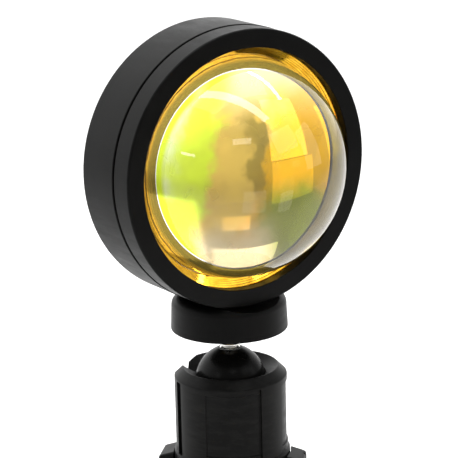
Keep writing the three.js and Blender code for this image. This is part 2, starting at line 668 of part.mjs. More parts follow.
function drum() {
  const ledgeBore = DRUM_BORE - DRUM_LEDGE_WIDTH;
  const flangeBore = STACK_RADIUS - FLANGE_WIDTH;
  const shell = turned([
    [DRUM_BORE, DRUM_Y],
    [DRUM_RADIUS - DRUM_FRONT_EDGE, DRUM_Y],
    [DRUM_RADIUS, DRUM_Y + DRUM_FRONT_EDGE],
    ...arc(DRUM_RADIUS - DRUM_EDGE, BACK_Y - DRUM_EDGE, DRUM_EDGE, 0, 90, 3),
    [COVER_RADIUS + FIT, BACK_Y],
    [COVER_RADIUS + FIT, COVER_Y - FIT],
    [flangeBore, COVER_Y - FIT],
    [flangeBore, FLANGE_Y],
    [ledgeBore, FLANGE_Y],
    [ledgeBore, DRUM_Y + DRUM_LEDGE],
    [DRUM_BORE, DRUM_Y + DRUM_LEDGE],
  ]);
  const postFront = DRIVER_Y + BOARD_THICKNESS + FIT;
  const posts = driverScrewPlaces().map(([x, z]) => (
    turned(rod(DRIVER_POST_RADIUS, postFront, FLANGE_Y + POST_ROOT), COARSE).translate(x, 0, z)
  ));
  const postHoles = driverScrewPlaces().map(([x, z]) => (
    drill(DRIVER_SCREW[2] + THREAD_GAP, postFront - PAST, FLANGE_Y + POST_HOLE).translate(x, 0, z)
  ));
  const coverHoles = coverScrewPlaces().map(([x, z]) => (
    drill(COVER_SCREW[2] + THREAD_GAP, FLANGE_Y - PAST, COVER_Y).translate(x, 0, z)
  ));
  const puckHoles = puckScrewPlaces().map((x) => (
    drillUp(PUCK_SCREW[2] + LOOSE, -DRUM_RADIUS - PAST, PUCK_HOLE_DEPTH - DRUM_BORE)
      .translate(x, PUCK_SCREW_Y, 0)
  ));
  const housing = cut(joined(shell, posts), [...postHoles, ...coverHoles, ...puckHoles]);
  add('rear_housing', housing, 'blackPaint', head);
}

function coverScrewPlaces() {
  return anglesOf(COVER_SCREWS, 45).map((angle) => onCircle(COVER_RADIUS - COVER_SCREW_INSET, angle));
}

function ledScrewPlaces() {
  return [-0.5, 0.5].map((side) => side * LED_SCREW_SPACING);
}

function cover() {
  const plate = turned([
    [0, COVER_Y],
    [COVER_RADIUS, COVER_Y],
    [COVER_RADIUS, BACK_Y - COVER_EDGE],
    [COVER_RADIUS - COVER_EDGE, BACK_Y],
    ...ribOutline(),
    [0, BACK_Y],
  ]);
  const [inletX, inletZ] = INLET_PLACE;
  const inletHole = drill(INLET_RADIUS + THREAD_GAP, COVER_Y - PAST, BACK_Y + PAST, MEDIUM);
  const screwHoles = coverScrewPlaces().map(([x, z]) => (
    drill(COVER_SCREW[2] + LOOSE, COVER_Y - PAST, BACK_Y + PAST).translate(x, 0, z)
  ));
  const ledHoles = ledScrewPlaces().map((x) => (
    drill(LED_SCREW[2] + THREAD_GAP, COVER_Y - PAST, BACK_Y - LED_SCREW_COVER / 2).translate(x, 0, 0)
  ));
  const tools = [inletHole.translate(inletX, 0, inletZ), ...screwHoles, ...ledHoles];
  add('rear_cover', cut(plate, tools), 'blackPaint', head);
  coverScrewPlaces().forEach(([x, z], i) => {
    const length = COVER_THICKNESS + FLANGE_SCREW_BITE;
    const mesh = add(`cover_screw_${i + 1}`, screw(COVER_SCREW, length), 'steel', head);
    mesh.rotation.z = Math.PI;
    mesh.position.set(x, BACK_Y + FIT, z);
  });
}

// The cover's back, rib by rib from the rim to the middle.
function ribOutline() {
  const outline = [];
  for (let i = COVER_RIBS - 1; i >= 0; i -= 1) {
    const inner = COVER_FIRST_RIB + i * COVER_RIB_PITCH;
    const outer = inner + COVER_RIB_WIDTH;
    outline.push([outer, BACK_Y], [outer, BACK_Y + COVER_RIB_HEIGHT]);
    outline.push([inner, BACK_Y + COVER_RIB_HEIGHT], [inner, BACK_Y]);
  }
  return outline;
}

function lens() {
  const centre = FRONT_Y + LENS_CENTRE;
  const flangeRadius = STACK_RADIUS - FIT;
  const footAngle = degrees(Math.asin((LENS_Y - centre) / LENS_RADIUS));
  add('main_lens', turned([
    ...arc(0, centre, LENS_RADIUS, -90, footAngle, 14),
    [flangeRadius, LENS_Y],
    [flangeRadius, LENS_BACK_Y],
    [0, LENS_BACK_Y],
  ]), 'glass', head);
  const clearOfDome = LENS_RADIUS + FIT;
  add('trim_ring', turned([
    [flangeRadius, TRIM_Y],
    [flangeRadius, TRIM_Y + TRIM_DEPTH],
    [clearOfDome, TRIM_Y + TRIM_DEPTH],
    [clearOfDome, TRIM_Y + TRIM_DEPTH - TRIM_EDGE],
    [(clearOfDome + BEZEL_OPENING) / 2, TRIM_Y + TRIM_DEPTH / 2],
    [BEZEL_OPENING, TRIM_Y],
  ]), 'gold', head);
  const gasket = ring(flangeRadius - GASKET_WIDTH, flangeRadius, GASKET_Y, GASKET_Y + GASKET_THICKNESS);
  add('lens_gasket', turned(gasket), 'rubber', head);
}

function dish() {
  const rim = STACK_RADIUS - FIT;
  const shoulder = rim - GASKET_WIDTH - FIT;
  const seat = DIFFUSER_RADIUS + FIT;
  const ledgeY = DIFFUSER_Y + DIFFUSER_THICKNESS + FIT;
  add('reflector_dish', turned([
    [rim, DISH_Y],
    [rim, DISH_Y + DISH_SHEET],
    [shoulder, DISH_Y + DISH_SHEET],
    [seat + DISH_SHEET, ledgeY - DISH_SHEET],
    [seat + DISH_SHEET, ledgeY + DISH_SHEET],
    [seat - DIFFUSER_LEDGE, ledgeY + DISH_SHEET],
    [seat - DIFFUSER_LEDGE, ledgeY],
    [seat, ledgeY],
    [seat, DISH_Y],
    [FILTER_RADIUS + FIT, DISH_Y - DISH_FACE],
    [FILTER_RADIUS + FIT, FILTER_Y],
    [shoulder, FILTER_Y],
    [shoulder, DISH_Y],
  ]), 'gold', head);
  const retainer = ring(shoulder + FIT, rim, RETAINER_Y, RETAINER_Y + RETAINER_THICKNESS);
  add('retaining_ring', turned(retainer), 'aluminium', head);
  const filter = rod(FILTER_RADIUS, FILTER_Y, FILTER_Y + FILTER_THICKNESS);
  add('colour_filter', turned(filter, MEDIUM), 'filter', head);
  const diffuser = rod(DIFFUSER_RADIUS, DIFFUSER_Y, DIFFUSER_Y + DIFFUSER_THICKNESS);
  add('diffuser_disc', turned(diffuser, MEDIUM), 'frosted', head);
  const mouth = DIFFUSER_RADIUS - DIFFUSER_LEDGE;
  add('light_funnel', turned([
    [mouth, FUNNEL_Y],
    [mouth + FUNNEL_SHEET + FUNNEL_FLARE, FUNNEL_Y],
    [FUNNEL_THROAT + FUNNEL_SHEET, FUNNEL_Y + FUNNEL_DEPTH],
    [FUNNEL_THROAT, FUNNEL_Y + FUNNEL_DEPTH],
  ], MEDIUM), 'aluminium', head);
}

function lightSource() {
  const chip = new THREE.BoxGeometry(CHIP_SIZE, CHIP_THICKNESS, CHIP_SIZE);
  add('led_chip', chip.translate(0, CHIP_Y + CHIP_THICKNESS / 2, 0), 'phosphor', head);
  const boardBack = BOARD_Y + BOARD_THICKNESS;
  const holes = ledScrewPlaces().map((x) => (
    drill(LED_SCREW[2] + THREAD_GAP, BOARD_Y - PAST, boardBack + PAST).translate(x, 0, 0)
  ));
  const board = turned(rod(BOARD_RADIUS, BOARD_Y, boardBack), MEDIUM);
  add('led_board', cut(board, holes), 'aluminium', head);
  const pad = rod(THERMAL_PAD_RADIUS, boardBack + FIT, COVER_Y - FIT);
  add('thermal_pad', turned(pad, MEDIUM), 'nylon', head);
  ledScrewPlaces().forEach((x, i) => {
    const length = BACK_Y - LED_SCREW_COVER - BOARD_Y;
    const mesh = add(`led_screw_${i + 1}`, screw(LED_SCREW, length), 'steel', head);
    mesh.position.set(x, BOARD_Y - FIT, 0);
  });
}

function electronics() {
  const [width, height] = DRIVER_SIZE;
  const board = new THREE.BoxGeometry(width, BOARD_THICKNESS, height);
  board.translate(0, DRIVER_Y + BOARD_THICKNESS / 2, DRIVER_RISE);
  const holes = driverScrewPlaces().map(([x, z]) => (
    drill(DRIVER_SCREW[2] + THREAD_GAP, DRIVER_Y - PAST, DRIVER_Y + BOARD_THICKNESS + PAST)
      .translate(x, 0, z)
  ));
  add('driver_board', cut(board, holes), 'circuitBoard', head);
  driverScrewPlaces().forEach(([x, z], i) => {
    const length = BOARD_THICKNESS + DRIVER_STANDOFF;
    const mesh = add(`driver_screw_${i + 1}`, screw(DRIVER_SCREW, length), 'steel', head);
    mesh.position.set(x, DRIVER_Y - FIT, z);
  });
  const front = DRIVER_Y - FIT;
  const parts = [['choke_coil', CHOKE, 'brass'], ['capacitor', CAPACITOR, 'aluminium']];
  parts.forEach(([name, { radius, height: depth, x }, finish]) => {
    const can = turned(rod(radius, front - depth, front), COARSE);
    add(name, can.translate(x, 0, DRIVER_RISE - COMPONENT_DROP), finish, head);
  });
  const boardBack = DRIVER_Y + BOARD_THICKNESS + FIT + LEAD_RADIUS;
  const leadEnd = BOARD_Y - FIT - LEAD_RADIUS;
  const [startDrop, bowDrop] = LEAD_DROP;
  const leads = [['lead_red', LEAD_PLACE, 'redLead'], ['lead_black', -LEAD_PLACE, 'blackLead']];
  leads.forEach(([name, x, finish]) => {
    const path = new THREE.CatmullRomCurve3([
      new THREE.Vector3(x, boardBack, DRIVER_RISE - startDrop),
      new THREE.Vector3(x * LEAD_SPREAD, (boardBack + leadEnd) / 2, DRIVER_RISE - bowDrop),
      new THREE.Vector3(x, leadEnd, BOARD_RADIUS - LEAD_INSET),
    ]);
    add(name, bar(path, LEAD_RADIUS, LEAD_STEPS), finish, head);
  });
}

function inlet() {
  const [x, z] = INLET_PLACE;
  const back = BACK_Y + FIT + INLET_NUT_THICKNESS + INLET_PROUD;
  const front = COVER_Y - INLET_DEPTH;
  const jack = turned([
    [0, front],
    [INLET_RADIUS + INLET_WALL, front],
    [INLET_RADIUS + INLET_WALL, COVER_Y - FIT],
    [INLET_RADIUS, COVER_Y - FIT],
    [INLET_RADIUS, back],
    [INLET_RADIUS - INLET_WALL, back],
    [INLET_RADIUS - INLET_WALL, front + INLET_FLOOR],
    [INLET_PIN_RADIUS, front + INLET_FLOOR],
    [INLET_PIN_RADIUS, back - INLET_PIN_SHY],
    [0, back - INLET_PIN_SHY],
  ], MEDIUM);
  add('power_inlet', jack.translate(x, 0, z), 'blackPlastic', head);
  const nutFront = BACK_Y + FIT;
  const nut = turned(rod(INLET_RADIUS + INLET_NUT_WIDTH, nutFront, nutFront + INLET_NUT_THICKNESS), 6);
  const nutBore = drill(INLET_RADIUS + THREAD_GAP, BACK_Y, back + PAST, MEDIUM);
  add('inlet_nut', cut(nut, [nutBore]).translate(x, 0, z), 'steel', head);
}

foot();
collar();
pressureCup();
clampRing();
ballJoint();
puck();
bezel();
drum();
cover();
lens();
dish();
lightSource();
electronics();
inlet();

export default lamp;
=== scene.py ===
import json
import math

import bmesh
import bpy
from mathutils import Matrix, Vector


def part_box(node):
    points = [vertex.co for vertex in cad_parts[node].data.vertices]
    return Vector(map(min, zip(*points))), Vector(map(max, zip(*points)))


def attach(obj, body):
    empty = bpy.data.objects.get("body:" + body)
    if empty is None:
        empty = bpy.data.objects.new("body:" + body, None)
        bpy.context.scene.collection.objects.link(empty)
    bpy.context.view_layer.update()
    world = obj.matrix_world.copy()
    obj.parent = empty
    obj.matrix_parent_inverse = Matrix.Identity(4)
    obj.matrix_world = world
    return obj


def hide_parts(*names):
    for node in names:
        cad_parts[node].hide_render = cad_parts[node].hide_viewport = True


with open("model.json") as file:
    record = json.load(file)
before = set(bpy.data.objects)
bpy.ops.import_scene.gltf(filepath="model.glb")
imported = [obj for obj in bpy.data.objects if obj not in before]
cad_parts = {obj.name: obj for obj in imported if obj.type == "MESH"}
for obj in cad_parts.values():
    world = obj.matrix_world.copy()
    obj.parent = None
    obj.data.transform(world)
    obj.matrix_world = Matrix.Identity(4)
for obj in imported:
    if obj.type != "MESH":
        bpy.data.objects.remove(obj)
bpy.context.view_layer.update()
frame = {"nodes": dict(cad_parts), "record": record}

MM = 0.001
ROUND = 144          # facets of a large turned piece
SMALL_ROUND = 64
TINY = 1e-7
GLUE = 0.02 * MM     # how far a face bonded to the dome lies inside the glass
PAST = 1 * MM        # how far a cutting tool runs beyond what it cuts

# Sizes shared with the solids
FIT = 0.3 * MM       # between neighbouring pieces
BEZEL_OPENING = 36.8 * MM
BEZEL_SEAM = 0.6 * MM
DRUM_WALL = 2.5 * MM
DRUM_LEDGE = 8 * MM
DRUM_LEDGE_WIDTH = 1.6 * MM
COVER_FLANGE_WIDTH = 9 * MM
COVER_FLANGE_THICKNESS = 2.4 * MM
DOME_RADIUS = 34 * MM
DOME_FLANGE = 2.5 * MM
DISH_SHEET = 0.8 * MM
DISH_RIM = 3.2 * MM
DISH_LEDGE = 1.4 * MM
INLET_RADIUS = 4 * MM
PUCK_HEIGHT = 10.5 * MM
PUCK_DRAFT = 0.45 * MM
PUCK_SHOULDER = 2.8 * MM
STUD_PITCH = 1.27 * MM
STUD_THREAD_DEPTH = 0.55 * MM
STUD_HOLE_RADIUS = 3.425 * MM
COLLAR_RADIUS = 17.5 * MM
COLLAR_SKIRT_STEP = 0.6 * MM
COLLAR_SKIRT_DROP = 22.6 * MM      # ball's centre down to the skirt
COLLAR_FOOT_DROP = 28.2 * MM       # ball's centre down to the clamp ring
COLLAR_CHAMFER = 2.9 * MM
COLLAR_LIP_RISE = 2.3 * MM         # seat's upper edge above the ball's centre
JOURNAL_WALL = 2.9 * MM
NOTCH_ANGLE = 123
NOTCH_WIDTH = 10.6 * MM
NOTCH_DROP = 3.475 * MM            # its floor below the ball's centre
RING_RADIUS = 20.2 * MM
LOBE_REACH = 22.8 * MM
LOBE_WIDTH = 10.5 * MM
LOBE_SLOPE = 0.36                  # fall of a lobe's top per metre outwards
LOBES = 4
FIRST_LOBE_ANGLE = 46
FOOT_BOSS_RADIUS = 13 * MM
COVER_SCREW = (2.1 * MM, 1.3 * MM, 3.8 * MM)   # head radius, head height, shank length
FOOT_SCREW = (2.6 * MM, 1.7 * MM, 6.2 * MM)

# Places taken from the frame
bezel_low, bezel_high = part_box("front_bezel")
drum_low, drum_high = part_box("rear_housing")
lens_low, lens_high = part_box("main_lens")
ball_low, ball_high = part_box("pivot_ball")
LAMP_Z = (drum_low.z + drum_high.z) / 2
FRONT_Y = bezel_low.y
BACK_Y = drum_high.y
BEZEL_RADIUS = bezel_high.x
DRUM_RADIUS = drum_high.x
BALL_Z = ball_low.z + (ball_high.x - ball_low.x) / 2
LAMP_AXIS = ((0, 0, LAMP_Z), (0, 1, 0))
STAND_AXIS = ((0, 0, 0), (0, 0, 1))


# ---------------------------------------------------------------- hand tools

def deselect():
    bpy.ops.object.select_all(action="DESELECT")


def pick(piece):
    deselect()
    piece.select_set(True)
    bpy.context.view_layer.objects.active = piece


def select_where(piece, test, kind="verts"):
    """Selects the vertices, edges or faces that pass the test, in edit mode."""
    mesh = bmesh.from_edit_mesh(piece.data)
    for part in (mesh.verts, mesh.edges, mesh.faces):
        for item in part:
            item.select = False
    mesh.select_mode = {kind[:-1].upper()}
    for item in getattr(mesh, kind):
        if test(item):
            item.select_set(True)
    mesh.select_flush_mode()
    bmesh.update_edit_mesh(piece.data)


def eased(outline, facets=5):
    """The outline with a corner rounded wherever its third number gives a radius."""
    points = []
    count = len(outline)
    for i, corner in enumerate(outline):
        here = Vector(corner[:2])
        if len(corner) < 3:
            points.append(here)
            continue
        to_last = Vector(outline[i - 1][:2]) - here
        to_next = Vector(outline[(i + 1) % count][:2]) - here
        angle = to_last.angle(to_next)
        run = corner[2] / math.tan(angle / 2)
        start = here + to_last.normalized() * run
        end = here + to_next.normalized() * run
        middle = here + (to_last.normalized() + to_next.normalized()).normalized() * (
            corner[2] / math.sin(angle / 2))
        sweep = math.pi - angle
        turn = 1 if to_last.cross(to_next) < 0 else -1
        for step in range(facets + 1):
            spoke = (start - middle).copy()
            spoke.rotate(Matrix.Rotation(turn * sweep * step / facets, 2))
            points.append(middle + spoke)
        points[-1] = end
    return points


def arc(radius_at, along, radius, first, last, steps):
    points = []
    for step in range(steps + 1):
        angle = math.radians(first + (last - first) * step / steps)
        points.append((radius_at + radius * math.cos(angle), along + radius * math.sin(angle)))
    return points


def turned(name, outline, axis=LAMP_AXIS, steps=ROUND, closed=True, smooth=32):
    """Draws the outline point by point and spins it: (distance from the axis, place along it)."""
    centre, direction = Vector(axis[0]), Vector(axis[1])
    places = [centre + Vector((point[0], 0, 0)) + direction * point[1] for point in outline]
    deselect()
    bpy.ops.mesh.primitive_plane_add(size=MM)
    piece = bpy.context.object
    piece.name = piece.data.name = name
    bpy.ops.object.mode_set(mode="EDIT")
    bpy.ops.mesh.select_all(action="SELECT")
    bpy.ops.mesh.merge(type="CENTER")
    bpy.ops.transform.translate(value=places[0])
    for last, place in zip(places, places[1:]):
        bpy.ops.mesh.extrude_region_move(TRANSFORM_OT_translate={"value": place - last})
    if closed:
        ends = (places[0], places[-1])
        select_where(piece, lambda v: min((v.co - end).length for end in ends) < TINY)
        bpy.ops.mesh.edge_face_add()
    bpy.ops.mesh.select_all(action="SELECT")
    bpy.ops.mesh.spin(steps=steps, angle=2 * math.pi, center=centre, axis=direction)
    bpy.ops.mesh.select_all(action="SELECT")
    bpy.ops.mesh.remove_doubles(threshold=TINY * 20)
    bpy.ops.mesh.normals_make_consistent(inside=False)
    bpy.ops.object.mode_set(mode="OBJECT")
    bpy.ops.object.shade_smooth_by_angle(angle=math.radians(smooth))
    return piece


def apply_modifier(piece, kind, **settings):
    pick(piece)
    bpy.ops.object.modifier_add(type=kind)
    modifier = piece.modifiers[-1]
    for key, value in settings.items():
        setattr(modifier, key, value)
    bpy.ops.object.modifier_apply(modifier=modifier.name)


def cut(piece, tool, operation="DIFFERENCE"):
    """Cuts the tool out of the piece, or joins it on, and throws the tool away."""
    apply_modifier(piece, "BOOLEAN", object=tool, operation=operation, solver="EXACT")
    bpy.data.objects.remove(tool)
    return piece


def block(name, size, place, ease=0.0, facets=3):
    """A block with its edges rounded, square to the frame."""
    deselect()
    bpy.ops.mesh.primitive_cube_add(size=1, location=place)
    piece = bpy.context.object
    piece.name = piece.data.name = name
    bpy.ops.transform.resize(value=size)
    bpy.ops.object.transform_apply(location=True, rotation=True, scale=True)
    if ease:
        bpy.ops.object.mode_set(mode="EDIT")
        bpy.ops.mesh.select_all(action="SELECT")
        bpy.ops.mesh.bevel(offset=ease, segments=facets, affect="EDGES")
        bpy.ops.object.mode_set(mode="OBJECT")
    return piece


def turn_about(piece, degrees, axis="Z", centre=(0, 0, 0)):
    """Turns the mesh itself about an axis, so that its object stays unturned."""
    place = Matrix.Translation(centre)
    turn = Matrix.Rotation(math.radians(degrees), 4, axis)
    piece.data.transform(place @ turn @ place.inverted())


def copied(piece, name):
    twin = piece.copy()
    twin.data = piece.data.copy()
    twin.name = twin.data.name = name
    bpy.context.collection.objects.link(twin)
    return twin


def tidy_normals(piece, smooth=32):
    pick(piece)
    bpy.ops.object.mode_set(mode="EDIT")
    bpy.ops.mesh.select_all(action="SELECT")
    bpy.ops.mesh.remove_doubles(threshold=TINY * 20)
    bpy.ops.mesh.dissolve_degenerate(threshold=TINY * 20)
    bpy.ops.mesh.normals_make_consistent(inside=False)
    bpy.ops.object.mode_set(mode="OBJECT")
    bpy.ops.object.shade_smooth_by_angle(angle=math.radians(smooth))


def crisp(piece):
    """Flat faces keep their own normals beside the rounded corners."""
    apply_modifier(piece, "WEIGHTED_NORMAL", keep_sharp=True, weight=80)


def fitted(piece, body, slot, *nodes):
    """Gives the piece its finish, its body, and the plain solids that it stands for."""
    crisp(piece)
    piece.data.materials.clear()
    piece.data.materials.append(FINISHES[slot])
    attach(piece, body)
    if nodes:
        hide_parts(*nodes)
    return piece


# ---------------------------------------------------------------- finishes

class Finish:
    """A material under way: its shader, and textures placed by the piece's own coordinates."""

    def __init__(self, name, **sockets):
        self.material = bpy.data.materials.new(name)
        self.material.use_nodes = True
        self.tree = self.material.node_tree
        self.shader = self.tree.nodes["Principled BSDF"]
        self.place = self.tree.nodes.new("ShaderNodeTexCoord").outputs["Object"]
        for socket, value in sockets.items():
            self.shader.inputs[socket.replace("_", " ")].default_value = value

    def node(self, kind, inputs, **settings):
        made = self.tree.nodes.new(kind)
        for key, value in settings.items():
            setattr(made, key, value)
        for socket, value in inputs.items():
            if isinstance(value, bpy.types.NodeSocket):
                self.tree.links.new(value, made.inputs[socket])
            else:
                made.inputs[socket].default_value = value
        return made.outputs[0]

    def moved(self, shift=(0, 0, 0), stretch=(1, 1, 1)):
        sockets = {"Vector": self.place, "Location": shift, "Scale": stretch}
        return self.node("ShaderNodeMapping", sockets)

    def noise(self, size, detail=3.0, place=None, roughness=0.55):
        """Noise whose lumps are about the given size in metres."""
        sockets = {"Vector": place or self.place, "Scale": 1 / size,
                   "Detail": detail, "Roughness": roughness}
        return self.node("ShaderNodeTexNoise", sockets)

    def ranged(self, value, low, high, to_low, to_high, smooth=False):
        sockets = {"Value": value, "From Min": low, "From Max": high,
                   "To Min": to_low, "To Max": to_high}
        style = "SMOOTHSTEP" if smooth else "LINEAR"
        return self.node("ShaderNodeMapRange", sockets, interpolation_type=style)

    def maths(self, operation, first, second=0.0):
        return self.node("ShaderNodeMath", {0: first, 1: second}, operation=operation)

    def mixed(self, factor, first, second, blend="MIX"):
        made = self.tree.nodes.new("ShaderNodeMix")
        made.data_type = "RGBA"
        made.blend_type = blend
        for index, value in ((0, factor), (6, first), (7, second)):
            if isinstance(value, bpy.types.NodeSocket):
                self.tree.links.new(value, made.inputs[index])
            elif index == 0:
                made.inputs[index].default_value = value
            else:
                made.inputs[index].default_value = (*value, 1)
        return made.outputs[2]

    def axis_value(self, axis, place=None):
        split = self.tree.nodes.new("ShaderNodeSeparateXYZ")
        self.tree.links.new(place or self.place, split.inputs[0])
        return split.outputs["XYZ".index(axis)]

    def from_axis(self, about="Y"):
        """Distance from the lamp's axis or, about Z, from the stand's."""
        squash = (1, 0, 1) if about == "Y" else (1, 1, 0)
        shift = (0, 0, -LAMP_Z) if about == "Y" else (0, 0, 0)
        place = self.moved(shift, squash)
        made = self.tree.nodes.new("ShaderNodeVectorMath")
        made.operation = "LENGTH"
        self.tree.links.new(place, made.inputs[0])
        return made.outputs["Value"]

    def feed(self, socket, value):
        self.tree.links.new(value, self.shader.inputs[socket])

    def bump(self, height, distance, strength=1.0, normal=None):
        sockets = {"Height": height, "Distance": distance, "Strength": strength}
        if normal:
            sockets["Normal"] = normal
        return self.node("ShaderNodeBump", sockets)


def coat(name, dark, light, grain, depth, rough, edge=None):
    """Powder coat or moulded plastic: fine pebbled grain, uneven gloss, dust, and lighter scuffed patches
    past a given radius, which are rubbed wear and, on the stand's chamfer, a painted sheen.
    """
    made = Finish(name, Specular_IOR_Level=0.08)
    fine = made.noise(grain, 2)
    cloud = made.noise(14 * MM, 4)
    scuff = made.noise(5 * MM, 5, made.moved(stretch=(1, 0.35, 2.6)), 0.7)
    colour = made.mixed(made.ranged(cloud, 0.35, 0.65, 0, 1), dark, light)
    speck = made.ranged(made.noise(0.9 * MM, 1), 0.72, 0.78, 0, 0.5)
    colour = made.mixed(speck, colour, tuple(2.6 * part for part in light))
    if edge:
        # lighter scuffs past the given radius: rubbed wear, and a painted sheen where they fall on the
        # stand's chamfer
        about, first, last = edge
        rub_and_sheen_band = made.ranged(made.from_axis(about), first, last, 0, 1, True)
        wear_and_sheen = made.maths("MULTIPLY", rub_and_sheen_band, made.ranged(scuff, 0.45, 0.62, 0.12, 0.7))
        colour = made.mixed(wear_and_sheen, colour, tuple(3.2 * part for part in light))
    made.feed("Base Color", colour)
    low, high = rough
    made.feed("Roughness", made.ranged(scuff, 0.3, 0.7, low, high))
    ripple = made.bump(cloud, 0.05 * MM, 0.25)
    made.feed("Normal", made.bump(fine, depth, 0.55, ripple))
    return made.material


def metal(name, bright, dull, rough, grain=0.35, stretch=(1, 1, 1), depth=0.006):
    """Turned or rolled metal: fine tool marks, stains and small pits."""
    made = Finish(name, Metallic=1.0)
    marks = made.noise(grain * MM, 3, made.moved(stretch=stretch))
    stain = made.noise(4 * MM, 4)
    made.feed("Base Color", made.mixed(made.ranged(stain, 0.35, 0.7, 0, 1), bright, dull))
    low, high = rough
    made.feed("Roughness", made.ranged(marks, 0.3, 0.7, low, high))
    made.feed("Normal", made.bump(marks, depth * MM, 0.6))
    return made.material


def ringed_gold():
    """Bright gilt plating with lathe rings, a darker olive-brown inner band next to the film, and three
    narrow dark rings further out.
    """
    made = Finish("gilt_rings")
    far = made.from_axis("Y")
    rings = made.node("ShaderNodeMath", {0: made.maths("MULTIPLY", far, 7000)}, operation="SINE")
    broad = made.noise(2.4 * MM, 3)
    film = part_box("colour_filter")[1].x
    wobble = made.maths("ADD", far, made.ranged(broad, 0.3, 0.7, -0.25 * MM, 0.25 * MM))
    colour = made.mixed(made.ranged(broad, 0.35, 0.65, 0, 1), (0.95, 0.56, 0.05), (0.83, 0.42, 0.02))
    band = made.ranged(wobble, film + 2.6 * MM, film + 5.6 * MM, 1, 0, True)
    colour = made.mixed(band, colour, (0.27, 0.20, 0.035))
    for line, half in ((5.0, 0.55), (8.2, 0.45), (11.0, 0.35)):
        near = made.maths("ABSOLUTE", made.maths("SUBTRACT", wobble, film + line * MM))
        dark = made.ranged(near, 0.4 * half * MM, half * MM, 0.85, 0, True)
        colour = made.mixed(dark, colour, (0.10, 0.05, 0.01))
    made.feed("Base Color", colour)
    made.feed("Metallic", made.ranged(broad, 0.3, 0.7, 1.0, 0.85))
    made.feed("Roughness", made.ranged(made.noise(0.5 * MM, 2), 0.3, 0.7, 0.08, 0.2))
    wave = made.bump(rings, 0.006 * MM, 0.5)
    made.feed("Normal", made.bump(broad, 0.03 * MM, 0.35, wave))
    return made.material


def clear_glass():
    """Moulded optical glass with faint smears on its skin."""
    made = Finish("dome_glass", Base_Color=(1, 0.995, 0.96, 1), IOR=1.5, Transmission_Weight=1.0)
    smear = made.noise(9 * MM, 5, made.moved(stretch=(1, 1, 2.2)), 0.65)
    made.feed("Roughness", made.ranged(smear, 0.55, 0.8, 0.0, 0.03))
    return made.material


def sunset_film():
    """Mirror-like colour film: lime on one side, gold in the middle, amber and olive on the other."""
    low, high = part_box("colour_filter")
    radius = (high.x - low.x) / 2
    made = Finish("sunset_film")
    wander = made.noise(8 * MM, 4)
    wisp = made.noise(11 * MM, 3, made.moved((3, 0, 1)), 0.5)
    across = made.maths("DIVIDE", made.axis_value("X"), radius)
    up = made.maths("DIVIDE", made.axis_value("Z", made.moved((0, 0, -LAMP_Z))), radius)
    out = made.maths("DIVIDE", made.from_axis("Y"), radius)
    drift = made.maths("ADD", across, made.ranged(wander, 0.25, 0.75, -0.22, 0.22))
    rise = made.maths("ADD", up, made.ranged(wisp, 0.25, 0.75, -0.15, 0.15))
    lean = made.maths("SUBTRACT", drift, made.maths("MULTIPLY", up, 0.35))
    pale = (0.86, 0.97, 0.48)
    lime = (0.80, 1.0, 0.05)
    gold = (0.92, 0.63, 0.13)
    amber = (1.0, 0.55, 0.015)
    olive = (0.36, 0.40, 0.02)
    cream = (1.0, 0.82, 0.50)
    colour = made.mixed(made.ranged(lean, -0.95, -0.55, 0, 1, True), pale, lime)
    colour = made.mixed(made.ranged(lean, -0.28, -0.08, 0, 1, True), colour, gold)
    colour = made.mixed(made.ranged(lean, 0.2, 0.5, 0, 1, True), colour, amber)
    lower = made.ranged(rise, -0.2, -0.5, 0, 1, True)
    righter = made.ranged(drift, 0.15, 0.5, 0, 1, True)
    colour = made.mixed(made.maths("MULTIPLY", lower, righter), colour, olive)
    peach = made.maths("MULTIPLY", made.ranged(rise, 0.3, 0.8, 0, 0.75, True),
                       made.ranged(across, -0.1, 0.25, 0, 1, True))
    colour = made.mixed(peach, colour, cream)
    foot = made.maths("MULTIPLY", made.ranged(rise, -0.5, -0.8, 0, 0.95, True),
                      made.ranged(made.maths("ABSOLUTE", across), 0.6, 0.3, 0, 1, True))
    colour = made.mixed(foot, colour, cream)
    rim = made.maths("MULTIPLY", made.ranged(out, 0.84, 0.93, 0, 1, True),
                     made.ranged(across, -0.25, -0.5, 0, 1, True))
    colour = made.mixed(rim, colour, lime)
    cloud = made.maths("MULTIPLY", made.ranged(wisp, 0.42, 0.75, 0, 0.45, True),
                       made.ranged(out, 0.85, 0.3, 0, 1, True))
    colour = made.mixed(cloud, colour, (0.42, 0.30, 0.05))
    smoke = made.maths("MULTIPLY", made.ranged(made.maths("ABSOLUTE", made.maths("SUBTRACT", drift, 0.27)),
                                               0.17, 0.05, 0, 0.75, True),
                       made.ranged(made.maths("ABSOLUTE", made.maths("SUBTRACT", rise, 0.05)),
                                   0.5, 0.3, 0, 1, True))
    colour = made.mixed(smoke, colour, (0.34, 0.25, 0.04))
    made.feed("Base Color", colour)
    made.feed("Metallic", made.ranged(wisp, 0.35, 0.65, 0.9, 0.7))
    made.feed("Roughness", made.ranged(across, -0.2, 0.4, 0.12, 0.015))
    made.feed("Normal", made.bump(wander, 0.01 * MM, 0.2))
    return made.material


def rubber():
    made = Finish("matt_rubber", Specular_IOR_Level=0.3)
    fine = made.noise(0.35 * MM, 3)
    cloud = made.noise(6 * MM, 4)
    colour = made.mixed(made.ranged(cloud, 0.3, 0.7, 0, 1), (0.008, 0.008, 0.009), (0.022, 0.021, 0.02))
    made.feed("Base Color", colour)
    made.feed("Roughness", made.ranged(fine, 0.3, 0.7, 0.75, 0.95))
    made.feed("Normal", made.bump(fine, 0.03 * MM, 0.6))
    return made.material


def plain_plastic(name, light, dark, rough, grain=0.6):
    made = Finish(name)
    cloud = made.noise(3 * MM, 4)
    fine = made.noise(grain * MM, 3)
    made.feed("Base Color", made.mixed(made.ranged(cloud, 0.35, 0.65, 0, 1), light, dark))
    low, high = rough
    made.feed("Roughness", made.ranged(fine, 0.3, 0.7, low, high))
    made.feed("Normal", made.bump(fine, 0.015 * MM, 0.5))
    return made.material


